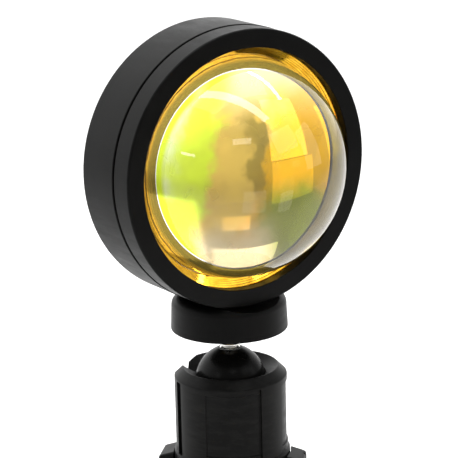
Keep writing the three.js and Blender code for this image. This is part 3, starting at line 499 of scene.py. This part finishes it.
def circuit_board():
    made = Finish("green_board")
    tracks = made.node("ShaderNodeTexBrick", {
        "Vector": made.place, "Scale": 420.0, "Mortar Size": 0.03,
        "Color1": (0.012, 0.09, 0.03, 1), "Color2": (0.01, 0.07, 0.022, 1),
        "Mortar": (0.03, 0.16, 0.05, 1)})
    made.feed("Base Color", tracks)
    made.feed("Roughness", made.ranged(made.noise(1 * MM, 3), 0.3, 0.7, 0.3, 0.5))
    return made.material


FINISHES = {
    "lamp_coat": coat("lamp_powder_coat", (0.0010, 0.0010, 0.0009), (0.0022, 0.0022, 0.0020),
                      0.30 * MM, 0.030 * MM, (0.36, 0.5), ("Y", BEZEL_RADIUS - 0.6 * MM, BEZEL_RADIUS)),
    "puck_coat": coat("puck_powder_coat", (0.0010, 0.0010, 0.0009), (0.0022, 0.0022, 0.0020),
                      0.30 * MM, 0.030 * MM, (0.36, 0.5)),
    # the stand's lighter band from 14.2 mm outwards paints a sheen on the collar's chamfer, besides
    # scuffed wear on the outer walls
    "stand_plastic": coat("stand_moulding", (0.0012, 0.0012, 0.0011), (0.0026, 0.0026, 0.0024),
                          0.22 * MM, 0.018 * MM, (0.32, 0.46), ("Z", 14.2 * MM, 15.2 * MM)),
    "ball_finish": coat("ball_satin", (0.0016, 0.0016, 0.0014), (0.0034, 0.0034, 0.0030),
                        0.5 * MM, 0.006 * MM, (0.24, 0.34)),
    "lens_glass": clear_glass(),
    "filter_glass": sunset_film(),
    "frosted_glass": plain_plastic("frosted_glass", (0.86, 0.85, 0.78), (0.74, 0.73, 0.66), (0.4, 0.6)),
    "gold_coat": ringed_gold(),
    "rubber": rubber(),
    "bare_steel": metal("zinc_steel", (0.62, 0.61, 0.59), (0.42, 0.41, 0.40), (0.22, 0.38)),
    "stud_chrome": metal("stud_nickel", (0.80, 0.79, 0.76), (0.60, 0.59, 0.56), (0.12, 0.26),
                         0.25, (1, 1, 4)),
    "brass": metal("turned_brass", (0.66, 0.45, 0.17), (0.42, 0.28, 0.10), (0.24, 0.4)),
    "nylon": plain_plastic("natural_nylon", (0.70, 0.69, 0.64), (0.58, 0.57, 0.52), (0.38, 0.52)),
    "sheet_aluminium": metal("rolled_aluminium", (0.70, 0.70, 0.71), (0.52, 0.52, 0.53),
                             (0.26, 0.42), 0.3, (1, 1, 6)),
    "thermal_pad": plain_plastic("grey_pad", (0.30, 0.31, 0.33), (0.22, 0.23, 0.25), (0.7, 0.9)),
    "phosphor": plain_plastic("phosphor_gel", (0.85, 0.62, 0.06), (0.72, 0.47, 0.03), (0.3, 0.5)),
    "circuit_board": circuit_board(),
    "red_lead": plain_plastic("red_sleeve", (0.45, 0.015, 0.012), (0.33, 0.01, 0.01), (0.35, 0.5)),
    "black_lead": plain_plastic("black_sleeve", (0.015, 0.015, 0.015), (0.008, 0.008, 0.008),
                                (0.35, 0.5)),
}


def dress_plain_nodes():
    """Every solid that keeps its own shape gets its slot's finish."""
    for entry in frame["record"]["subparts"]:
        node = frame["nodes"][entry["node"]]
        finish = FINISHES[entry["material_slot"]]
        if node.material_slots:
            node.material_slots[0].material = finish
        else:
            node.data.materials.append(finish)


# ---------------------------------------------------------------- camera, light, floor

AIM = Vector((0.7 * MM, 0, 93.72 * MM))
CAMERA_AZIMUTH = -33.69
CAMERA_ELEVATION = 15.24
CAMERA_ROLL = -1.39
CAMERA_DISTANCE = 0.668
CAMERA_LENS = 172
CARD_Y = -0.18           # cards in front of the lamp, shown only in the dome


def toward(azimuth, elevation):
    """Direction from the lamp out to a place round it; azimuth 0 is in front of the face."""
    a, e = math.radians(azimuth), math.radians(elevation)
    return Vector((math.sin(a) * math.cos(e), -math.cos(a) * math.cos(e), math.sin(e)))


def add_camera():
    data = bpy.data.cameras.new("camera")
    data.lens = CAMERA_LENS
    data.sensor_width = 36
    data.clip_start = 0.01
    camera = bpy.data.objects.new("camera", data)
    bpy.context.collection.objects.link(camera)
    back = toward(CAMERA_AZIMUTH, CAMERA_ELEVATION)
    turn = back.to_track_quat("Z", "Y").to_matrix() @ Matrix.Rotation(
        math.radians(CAMERA_ROLL), 3, "Z")
    camera.matrix_world = Matrix.Translation(AIM + back * CAMERA_DISTANCE) @ turn.to_4x4()
    bpy.context.scene.camera = camera


def panel(name, place, facing, width, height, glow, colour=(1, 1, 1)):
    """A glowing panel that shows in reflections but not to the camera; glow is its brightness."""
    data = bpy.data.lights.new(name, "AREA")
    data.shape = "RECTANGLE"
    data.size = width
    data.size_y = height
    data.energy = glow * math.pi * width * height
    data.color = colour
    light = bpy.data.objects.new(name, data)
    light.visible_camera = False
    bpy.context.collection.objects.link(light)
    out = (Vector(place) - Vector(facing)).normalized()
    light.matrix_world = Matrix.Translation(place) @ out.to_track_quat("Z", "Y").to_matrix().to_4x4()
    return light


def panel_around(name, azimuth, elevation, distance, width, height, glow, colour=(1, 1, 1)):
    aim = Vector((0, FRONT_Y, LAMP_Z))
    place = aim + toward(azimuth, elevation) * distance
    return panel(name, place, aim, width, height, glow, colour)


def card(name, across, up, width, height, glow, colour=(1, 1, 1)):
    """A card standing square in front of the lamp, placed from the lamp's axis."""
    place = Vector((across, CARD_Y, LAMP_Z + up))
    panel(name, place, place + Vector((0, 1, 0)), width, height, glow, colour)


def strip(name, start, end, width, glow):
    """A long narrow tube of light over the lamp."""
    start, end = Vector(start), Vector(end)
    middle = (start + end) / 2
    light = panel(name, middle, middle - Vector((0, 0, 1)), (end - start).length, width, glow)
    along = (end - start).normalized()
    up = Vector((0, 0, 1))
    turn = Matrix((along, up.cross(along), up)).transposed()
    light.matrix_world = Matrix.Translation(middle) @ turn.to_4x4()


def add_light():
    world = bpy.data.worlds.new("studio")
    world.use_nodes = True
    tree = world.node_tree
    sky = tree.nodes["Background"]
    place = tree.nodes.new("ShaderNodeTexCoord")
    split = tree.nodes.new("ShaderNodeSeparateXYZ")
    tree.links.new(place.outputs["Generated"], split.inputs[0])
    depth = tree.nodes.new("ShaderNodeMapRange")
    depth.interpolation_type = "SMOOTHSTEP"
    tree.links.new(split.outputs["Y"], depth.inputs["Value"])
    for socket, value in (("From Min", -0.45), ("From Max", 0.85), ("To Min", 0.46), ("To Max", 1.9)):
        depth.inputs[socket].default_value = value
    tree.links.new(depth.outputs[0], sky.inputs["Strength"])
    sky.inputs["Color"].default_value = (1, 1, 1, 1)
    bpy.context.scene.world = world
    panel_around("overhead", 180, 75, 1.3, 1.4, 1.2, 1.3)
    strip("left_tube", (-0.22, 0.30, 0.5), (0.10, -0.31, 0.5), 0.06, 9)
    strip("right_tube", (0.15, 0.30, 0.5), (0.27, -0.12, 0.5), 0.035, 14)
    panel_around("front_window", 27, 29, 0.8, 0.36, 0.28, 1.25)
    panel_around("side_window", 54, 14, 0.8, 0.30, 0.46, 1.2)
    card("upper_card", 0.053, -0.080, 0.045, 0.068, 1.3, (1, 0.86, 0.9))
    card("lower_card", 0.049, -0.027, 0.052, 0.036, 0.5, (1, 0.9, 0.4))
    panel_around("side_card", -16, -22, 0.16, 0.06, 0.06, 0.95)
    panel_around("small_lamp", 31.5, 6, 0.7, 0.11, 0.07, 0.62, (1, 0.8, 0.5))
    panel_around("pale_lamp", -24, 36.5, 0.6, 0.19, 0.06, 4)
    panel_around("left_lamp", -83, 20, 0.7, 0.19, 0.03, 9)


def add_floor():
    deselect()
    bpy.ops.mesh.primitive_plane_add(size=14)
    floor = bpy.context.object
    floor.name = floor.data.name = "floor"
    made = Finish("pale_floor")
    tone = made.noise(0.4, 3)
    pale = made.mixed(tone, (0.95, 0.95, 0.95), (0.97, 0.97, 0.965))
    # painted shade: the floor turns grey in front of the lamp, where less light falls
    front_floor_shade = made.ranged(made.axis_value("Y"), -0.10, -0.36, 0, 1, True)
    made.feed("Base Color", made.mixed(front_floor_shade, pale, (0.5, 0.5, 0.49)))
    made.feed("Roughness", made.ranged(tone, 0.3, 0.7, 0.6, 0.8))
    floor.data.materials.append(made.material)


# ---------------------------------------------------------------- lamp head

def front_bezel():
    seam = drum_low.y - BEZEL_SEAM
    skirt = bezel_high.y
    trim_low, trim_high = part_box("trim_ring")
    behind_lip = trim_high.x + FIT
    skirt_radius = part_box("bezel_seal")[1].x
    lip_back = trim_low.y - FIT
    outline = eased([
        (BEZEL_OPENING, FRONT_Y, 0.35 * MM),
        (BEZEL_RADIUS, FRONT_Y, 0.7 * MM),
        (BEZEL_RADIUS, seam, 0.25 * MM),
        (skirt_radius, seam),
        (skirt_radius, skirt, 0.3 * MM),
        (behind_lip, skirt, 0.3 * MM),
        (behind_lip, lip_back),
        (BEZEL_OPENING, lip_back, 0.2 * MM),
    ])
    piece = turned("bezel", outline)
    return fitted(piece, "lamp_head", "lamp_coat", "front_bezel")


def drum():
    bore = DRUM_RADIUS - DRUM_WALL
    ledge_bore = bore - DRUM_LEDGE_WIDTH
    flange_bore = bore - COVER_FLANGE_WIDTH
    cover_low, cover_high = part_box("rear_cover")
    cover_radius = cover_high.x + FIT
    seat = cover_low.y - FIT
    flange_front = seat - COVER_FLANGE_THICKNESS
    outline = eased([
        (bore, drum_low.y, 0.2 * MM),
        (DRUM_RADIUS, drum_low.y, 0.3 * MM),
        (DRUM_RADIUS, BACK_Y, 1.0 * MM),
        (cover_radius, BACK_Y, 0.25 * MM),
        (cover_radius, seat),
        (flange_bore, seat, 0.3 * MM),
        (flange_bore, flange_front, 0.3 * MM),
        (ledge_bore, flange_front),
        (ledge_bore, drum_low.y + DRUM_LEDGE),
        (bore, drum_low.y + DRUM_LEDGE),
    ])
    piece = turned("drum", outline)
    return fitted(piece, "lamp_head", "lamp_coat", "rear_housing")


def back_cover():
    low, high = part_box("rear_cover")
    rib_top = high.y
    face = BACK_Y
    rib_radii = (15.824 * MM, 11.96 * MM, 8.096 * MM, 4.232 * MM)
    rib_foot = 0.736 * MM
    rib_crown = 0.552 * MM
    outline = [(0, low.y), (high.x, low.y), (high.x, face, 0.4 * MM)]
    for middle in rib_radii:
        outline += [
            (middle + rib_foot, face, 0.15 * MM),
            (middle + rib_crown, rib_top, 0.25 * MM),
            (middle - rib_crown, rib_top, 0.25 * MM),
            (middle - rib_foot, face, 0.15 * MM),
        ]
    outline.append((0, face))
    piece = turned("back_cover", eased(outline, 3))
    jack_low, jack_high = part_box("power_inlet")
    middle = (jack_low + jack_high) / 2
    jack_axis = ((middle.x, 0, middle.z), (0, 1, 0))
    for radius, start, steps in (
        (INLET_RADIUS + 0.15 * MM, low.y - PAST, 48),
        (7.4 * MM, face - FIT, 64),
    ):
        hole = [(0, start), (radius, start), (radius, high.y + PAST), (0, high.y + PAST)]
        cut(piece, turned("hole_tool", hole, jack_axis, steps, closed=False))
    tidy_normals(piece)
    return fitted(piece, "lamp_head", "lamp_coat", "rear_cover")


def screw_head(name, radius, height, length):
    """A pan-head screw at the origin, head towards -Y, with a tapered cross recess."""
    shank = radius * 0.52
    outline = eased([
        (0, -height),
        (radius * 0.62, -height, radius * 0.3),
        (radius, -height * 0.35, radius * 0.12),
        (radius, 0),
        (shank, 0),
        (shank, length - 0.4 * MM),
        (shank * 0.6, length),
        (0, length),
    ])
    piece = turned(name, outline, ((0, 0, 0), (0, 1, 0)), 40, closed=False)
    for turn in (0, 90):
        deselect()
        bpy.ops.mesh.primitive_cube_add(size=1, location=(0, -height, 0))
        tool = bpy.context.object
        bpy.ops.transform.resize(value=(radius * 1.15, height * 1.3, radius * 0.22))
        bpy.ops.object.transform_apply(location=True, rotation=True, scale=True)
        bpy.ops.object.mode_set(mode="EDIT")
        select_where(tool, lambda f: f.normal.y > 0.9, "faces")
        bpy.ops.transform.resize(value=(0.55, 1, 0.7))
        bpy.ops.object.mode_set(mode="OBJECT")
        turn_about(tool, turn, "Y")
        cut(piece, tool)
    tidy_normals(piece, 35)
    return piece


def place_screws():
    pattern = screw_head("cover_screw", *COVER_SCREW)
    for i in range(4):
        low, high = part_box(f"cover_screw_{i + 1}")
        screw = copied(pattern, f"back_screw_{i + 1}")
        turn_about(screw, 180, "Z")
        turn_about(screw, 17 + 41 * i, "Y")
        middle = (low + high) / 2
        screw.data.transform(Matrix.Translation((middle.x, high.y - COVER_SCREW[1], middle.z)))
        fitted(screw, "lamp_head", "bare_steel", f"cover_screw_{i + 1}")
    bpy.data.objects.remove(pattern)
    pattern = screw_head("foot_screw", *FOOT_SCREW)
    for i in range(3):
        low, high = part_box(f"foot_screw_{i + 1}")
        screw = copied(pattern, f"under_screw_{i + 1}")
        turn_about(screw, 90, "X")
        turn_about(screw, 25 + 50 * i, "Z")
        middle = (low + high) / 2
        screw.data.transform(Matrix.Translation((middle.x, middle.y, low.z + FOOT_SCREW[1])))
        fitted(screw, "base", "bare_steel", f"foot_screw_{i + 1}")
    bpy.data.objects.remove(pattern)


def dome_lens():
    centre = lens_low.y + DOME_RADIUS
    flange = lens_high.y - DOME_FLANGE
    foot = math.degrees(math.asin((flange - centre) / DOME_RADIUS))
    outline = arc(0, centre, DOME_RADIUS, -90, foot, 60)
    outline += [tuple(point) for point in eased([
        (outline[-1][0], flange),
        (lens_high.x, flange, 0.3 * MM),
        (lens_high.x, lens_high.y, 0.3 * MM),
        (0, lens_high.y),
    ])][1:]
    outline[0] = (0, outline[0][1])
    piece = turned("dome", outline, steps=192, closed=False, smooth=30)
    return fitted(piece, "lamp_head", "lens_glass", "main_lens")


def trim_ring():
    low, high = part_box("trim_ring")
    inner = DOME_RADIUS + FIT
    ribs = 5
    groove = Vector((0.22 * MM, 0.08 * MM))
    start = Vector((inner, high.y - 1.2 * MM))
    end = Vector((BEZEL_OPENING, low.y))
    outline = [(high.x, low.y), (high.x, high.y), (inner, high.y), tuple(start)]
    for i in range(ribs):
        outline.append(tuple(start.lerp(end, (i + 0.5) / ribs) + groove))
        outline.append(tuple(start.lerp(end, (i + 1) / ribs)))
    piece = turned("gilt_trim", outline, smooth=20)
    return fitted(piece, "lamp_head", "gold_coat", "trim_ring")


def reflector():
    """Gilt ring round the film, pressed to the dome's flat back, with the diffuser's seat behind."""
    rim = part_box("reflector_dish")[1].x
    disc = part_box("diffuser_disc")[1]
    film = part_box("colour_filter")[1]
    face = lens_high.y - GLUE
    rim_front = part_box("lens_gasket")[1].y + FIT
    shoulder = rim - DISH_RIM
    seat = disc.x + FIT
    ledge = disc.y + FIT
    inner = film.x + 0.25 * MM
    outline = eased([
        (rim, rim_front),
        (rim, rim_front + DISH_SHEET),
        (shoulder, rim_front + DISH_SHEET),
        (seat + DISH_SHEET, ledge - DISH_SHEET),
        (seat + DISH_SHEET, ledge + DISH_SHEET),
        (seat - DISH_LEDGE, ledge + DISH_SHEET),
        (seat - DISH_LEDGE, ledge),
        (seat, ledge),
        (seat, rim_front, 0.3 * MM),
        (inner, rim_front - 0.4 * MM, 0.2 * MM),
        (inner, face, 0.1 * MM),
        (shoulder, face, 0.1 * MM),
        (shoulder, rim_front),
    ])
    piece = turned("gilt_dish", outline)
    return fitted(piece, "lamp_head", "gold_coat", "reflector_dish")


def colour_film():
    """The film is bonded to the dome, so its front lies a hair inside the glass."""
    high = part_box("colour_filter")[1]
    front = lens_high.y - GLUE
    edge = 0.1 * MM
    outline = eased([
        (0, front),
        (high.x, front, edge),
        (high.x, high.y, edge),
        (0, high.y),
    ], 3)
    piece = turned("colour_film", outline, closed=False)
    return fitted(piece, "lamp_head", "filter_glass", "colour_filter")


def diffuser():
    low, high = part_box("diffuser_disc")
    edge = 0.25 * MM
    outline = eased([
        (0, low.y),
        (high.x, low.y, edge),
        (high.x, high.y, edge),
        (0, high.y),
    ], 3)
    piece = turned("diffuser", outline, closed=False)
    return fitted(piece, "lamp_head", "frosted_glass", "diffuser_disc")


def inlet():
    low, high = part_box("power_inlet")
    middle = (low + high) / 2
    axis = ((middle.x, 0, middle.z), (0, 1, 0))
    body = 5.2 * MM
    shoulder = low.y + 5.2 * MM
    mouth = 2.8 * MM
    floor = low.y + 1.5 * MM
    pin = 1.0 * MM
    pin_end = high.y - MM
    outline = eased([
        (0, low.y),
        (body, low.y, 0.3 * MM),
        (body, shoulder, 0.3 * MM),
        (INLET_RADIUS, shoulder),
        (INLET_RADIUS, high.y, 0.25 * MM),
        (mouth, high.y, 0.35 * MM),
        (mouth, floor),
        (pin, floor),
        (pin, pin_end, 0.4 * MM),
        (0, pin_end),
    ])
    piece = turned("power_jack", outline, axis, 56, closed=False)
    fitted(piece, "lamp_head", "stand_plastic", "power_inlet")
    nut_low, nut_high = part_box("inlet_nut")
    deselect()
    corner = 6 * MM
    depth = nut_high.y - nut_low.y
    bpy.ops.mesh.primitive_cylinder_add(vertices=6, radius=corner, depth=depth)
    nut = bpy.context.object
    nut.name = nut.data.name = "jack_nut"
    turn_about(nut, 90, "X")
    nut.data.transform(Matrix.Translation((middle.x, (nut_low.y + nut_high.y) / 2, middle.z)))
    start, end = nut_low.y - PAST, nut_high.y + PAST
    cone = [
        (0, start),
        (corner - 0.5 * MM, start),
        (corner, nut_low.y + 0.5 * MM),
        (corner, nut_high.y - 0.35 * MM),
        (corner - 0.65 * MM, nut_high.y),
        (0, nut_high.y),
    ]
    cut(nut, turned("cone_tool", cone, axis, 72, closed=False), "INTERSECT")
    thread = INLET_RADIUS + 0.2 * MM
    bore = [(0, start), (thread, start), (thread, end), (0, end)]
    cut(nut, turned("bore_tool", bore, axis, 56, closed=False))
    tidy_normals(nut, 30)
    fitted(nut, "lamp_head", "bare_steel", "inlet_nut")


def puck():
    low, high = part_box("mount_puck")
    insert_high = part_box("puck_insert")[1]
    top = low.z + PUCK_HEIGHT
    bore = insert_high.x + 0.25 * MM
    ceiling = insert_high.z + FIT
    outline = eased([
        (bore, low.z),
        (high.x, low.z, 0.45 * MM),
        (high.x - PUCK_DRAFT, top, PUCK_SHOULDER),
        (0, top),
        (0, ceiling),
        (bore, ceiling),
    ], 6)
    piece = turned("puck", outline, STAND_AXIS, 128, closed=False)
    saddle = DRUM_RADIUS + FIT
    half = 25 * MM
    outline = [(0, -half), (saddle, -half), (saddle, half), (0, half)]
    cut(piece, turned("saddle_tool", outline, steps=256, closed=False))
    tidy_normals(piece)
    return fitted(piece, "lamp_head", "puck_coat", "mount_puck")


# ---------------------------------------------------------------- ball joint and stand

def stud():
    low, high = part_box("ball_stud")
    radius = high.x
    root = radius - STUD_THREAD_DEPTH
    plain = 0.2 * MM
    outline = [(0, low.z), (root, low.z)]
    level = low.z + plain
    while level + STUD_PITCH < high.z - plain:
        outline.append((root, level))
        outline.append((radius, level + STUD_PITCH * 0.42))
        outline.append((radius, level + STUD_PITCH * 0.58))
        level += STUD_PITCH
    outline += [(root, level), (root - 0.3 * MM, high.z), (0, high.z)]
    piece = turned("threaded_stud", outline, STAND_AXIS, SMALL_ROUND, closed=False, smooth=20)
    return fitted(piece, "ball_stud", "stud_chrome", "ball_stud")


def ball():
    radius = ball_high.x
    flat = math.degrees(math.asin((ball_high.z - BALL_Z) / radius))
    hole = STUD_HOLE_RADIUS
    mouth = 0.35 * MM
    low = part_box("ball_stud")[0].z - FIT
    outline = arc(0, BALL_Z, radius, -90, flat, 40)
    outline[0] = (0, outline[0][1])
    outline += [
        (hole + mouth, ball_high.z),
        (hole, ball_high.z - mouth),
        (hole, low),
        (0, low),
    ]
    piece = turned("ball", outline, STAND_AXIS, 96, closed=False, smooth=25)
    return fitted(piece, "ball_stud", "ball_finish", "pivot_ball")


def wall_angle(face):
    middle = face.calc_center_median()
    return math.degrees(math.atan2(middle.y, middle.x)) % 360


def collar():
    low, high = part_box("socket_collar")
    radius = COLLAR_RADIUS
    skirt_radius = radius + COLLAR_SKIRT_STEP
    skirt_z = BALL_Z - COLLAR_SKIRT_DROP
    top = high.z
    foot_z = BALL_Z - COLLAR_FOOT_DROP
    seat = ball_high.x + FIT
    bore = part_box("swivel_race")[1].x + FIT
    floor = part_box("pressure_cup")[0].z - FIT
    journal = bore + JOURNAL_WALL
    lip_angle = math.degrees(math.asin(COLLAR_LIP_RISE / seat))
    panel_top = top - 4.3 * MM
    panel_low = skirt_z + 2.2 * MM
    grooves = ((169, 3.0 * MM, 1.2 * MM), (266.6, 0.9 * MM, 0.7 * MM))   # angle, width, depth
    groove_low = skirt_z + 0.4 * MM
    groove_high = top - 3.4 * MM
    outline = eased([
        (0, low.z),
        (journal, low.z, 0.3 * MM),
        (journal, foot_z),
        (skirt_radius, foot_z, 0.25 * MM),
        (skirt_radius, skirt_z, 0.25 * MM),
        (radius, skirt_z + COLLAR_SKIRT_STEP, 0.4 * MM),
        (radius, panel_low),
        (radius, panel_top),
        (radius, top - COLLAR_CHAMFER, 0.7 * MM),
        (radius - COLLAR_CHAMFER, top, 0.35 * MM),
    ], 4)
    outline += [Vector(point) for point in arc(0, BALL_Z, seat, lip_angle, 4.1, 8)]
    outline += [Vector((bore, outline[-1].y)), Vector((bore, floor)), Vector((0, floor))]
    piece = turned("collar", outline, STAND_AXIS, ROUND, closed=False)
    bpy.ops.object.mode_set(mode="EDIT")
    for centre in (236.5, 326.5, 56.5):
        select_where(piece, lambda f: (
            abs((wall_angle(f) - centre + 180) % 360 - 180) < 30.2
            and panel_low - TINY < f.calc_center_median().z < panel_top + TINY
            and f.calc_center_median().to_2d().length > radius - 0.3 * MM
        ), "faces")
        bpy.ops.mesh.inset(thickness=0.45 * MM, depth=0)
        bpy.ops.mesh.inset(thickness=0.25 * MM, depth=-0.4 * MM)
    bpy.ops.object.mode_set(mode="OBJECT")
    for angle, width, depth in grooves:
        size = (2 * depth, width, groove_high - groove_low)
        tool = block("groove_tool", size, (radius, 0, (groove_high + groove_low) / 2), 0.25 * MM)
        turn_about(tool, angle)
        cut(piece, tool)
    height = 14 * MM
    notch = block("notch_tool", (radius, NOTCH_WIDTH, height),
                  (radius, 0, BALL_Z - NOTCH_DROP + height / 2), 5.2 * MM, 10)
    turn_about(notch, NOTCH_ANGLE)
    cut(piece, notch)
    tidy_normals(piece)
    return fitted(piece, "base", "stand_plastic", "socket_collar")


def clamp_ring():
    low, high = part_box("lock_ring")
    ring_top = BALL_Z - COLLAR_FOOT_DROP - FIT
    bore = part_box("swivel_race")[1].x + FIT + JOURNAL_WALL + FIT
    outline = eased([
        (bore, low.z),
        (RING_RADIUS, low.z, 0.5 * MM),
        (RING_RADIUS, ring_top, 0.5 * MM),
        (bore, ring_top),
    ])
    piece = turned("clamp_ring", outline, STAND_AXIS)
    inner = COLLAR_RADIUS + COLLAR_SKIRT_STEP + FIT
    root = inner - MM
    width = 1.6 * MM
    for i in range(LOBES):
        middle = ((LOBE_REACH + root) / 2, 0, (low.z + high.z) / 2)
        lobe = block("lobe", (LOBE_REACH - root, LOBE_WIDTH, high.z - low.z), middle)
        bpy.ops.object.mode_set(mode="EDIT")
        select_where(lobe, lambda v: v.co.x > middle[0] and v.co.z > middle[2])
        bpy.ops.transform.translate(value=(0, 0, -LOBE_SLOPE * (LOBE_REACH - inner)))
        bpy.ops.mesh.select_all(action="SELECT")
        bpy.ops.mesh.bevel(offset=0.9 * MM, segments=4, affect="EDGES")
        bpy.ops.object.mode_set(mode="OBJECT")
        place = (LOBE_REACH + 0.1 * MM, 2.4 * MM, low.z)
        cut(lobe, block("lobe_groove", (width, 1.0 * MM, 30 * MM), place))
        turn_about(lobe, FIRST_LOBE_ANGLE + 360 / LOBES * i)
        cut(piece, lobe, "UNION")
    start, end = ring_top + 0.01 * MM, high.z + PAST
    clear = [(0, start), (inner, start), (inner, end), (0, end)]
    cut(piece, turned("skirt_room", clear, STAND_AXIS, closed=False))
    tidy_normals(piece)
    return fitted(piece, "lock_ring", "stand_plastic", "lock_ring")


def foot():
    low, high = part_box("foot_shell")
    pad_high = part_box("foot_pad")[1]
    bush_low, bush_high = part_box("threaded_bush")
    bush = bush_high.x + FIT
    boss_low = bush_low.z
    boss = FOOT_BOSS_RADIUS
    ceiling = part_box("ballast_plate")[1].z + FIT
    room = pad_high.x + FIT
    flat = 26.6 * MM
    groove = 1.2 * MM
    groove_floor = high.z - 0.35 * MM
    outline = eased([
        (bush, boss_low, 0.2 * MM),
        (boss, boss_low, 0.2 * MM),
        (boss, ceiling),
        (room, ceiling),
        (room, low.z, 0.3 * MM),
        (high.x, low.z, 0.4 * MM),
        (high.x, 5.4 * MM, 1.8 * MM),
        (33 * MM, high.z, 4 * MM),
        (flat, high.z, 0.15 * MM),
        (flat - 0.2 * MM, groove_floor, 0.1 * MM),
        (flat - groove + 0.2 * MM, groove_floor, 0.1 * MM),
        (flat - groove, high.z, 0.15 * MM),
        (bush, high.z, 0.2 * MM),
    ])
    piece = turned("foot", outline, STAND_AXIS, 160)
    for i in range(3):
        screw_low, screw_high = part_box(f"foot_screw_{i + 1}")
        middle = (screw_low + screw_high) / 2
        axis = ((middle.x, middle.y, 0), (0, 0, 1))
        sink = FOOT_SCREW[0] + FIT
        shank = 1.6 * MM
        hole = [
            (0, -PAST),
            (sink, -PAST),
            (sink, 4 * MM),
            (shank, 4 * MM),
            (shank, high.z + 1.5 * MM),
            (0, high.z + 1.5 * MM),
        ]
        cut(piece, turned("screw_hole", hole, axis, 40, closed=False))
    tidy_normals(piece)
    return fitted(piece, "base", "stand_plastic", "foot_shell")


dress_plain_nodes()
front_bezel()
drum()
back_cover()
place_screws()
dome_lens()
trim_ring()
reflector()
colour_film()
diffuser()
inlet()
puck()
stud()
ball()
collar()
clamp_ring()
foot()
add_floor()
add_light()
add_camera()

bpy.context.scene.view_settings.view_transform = "Standard"
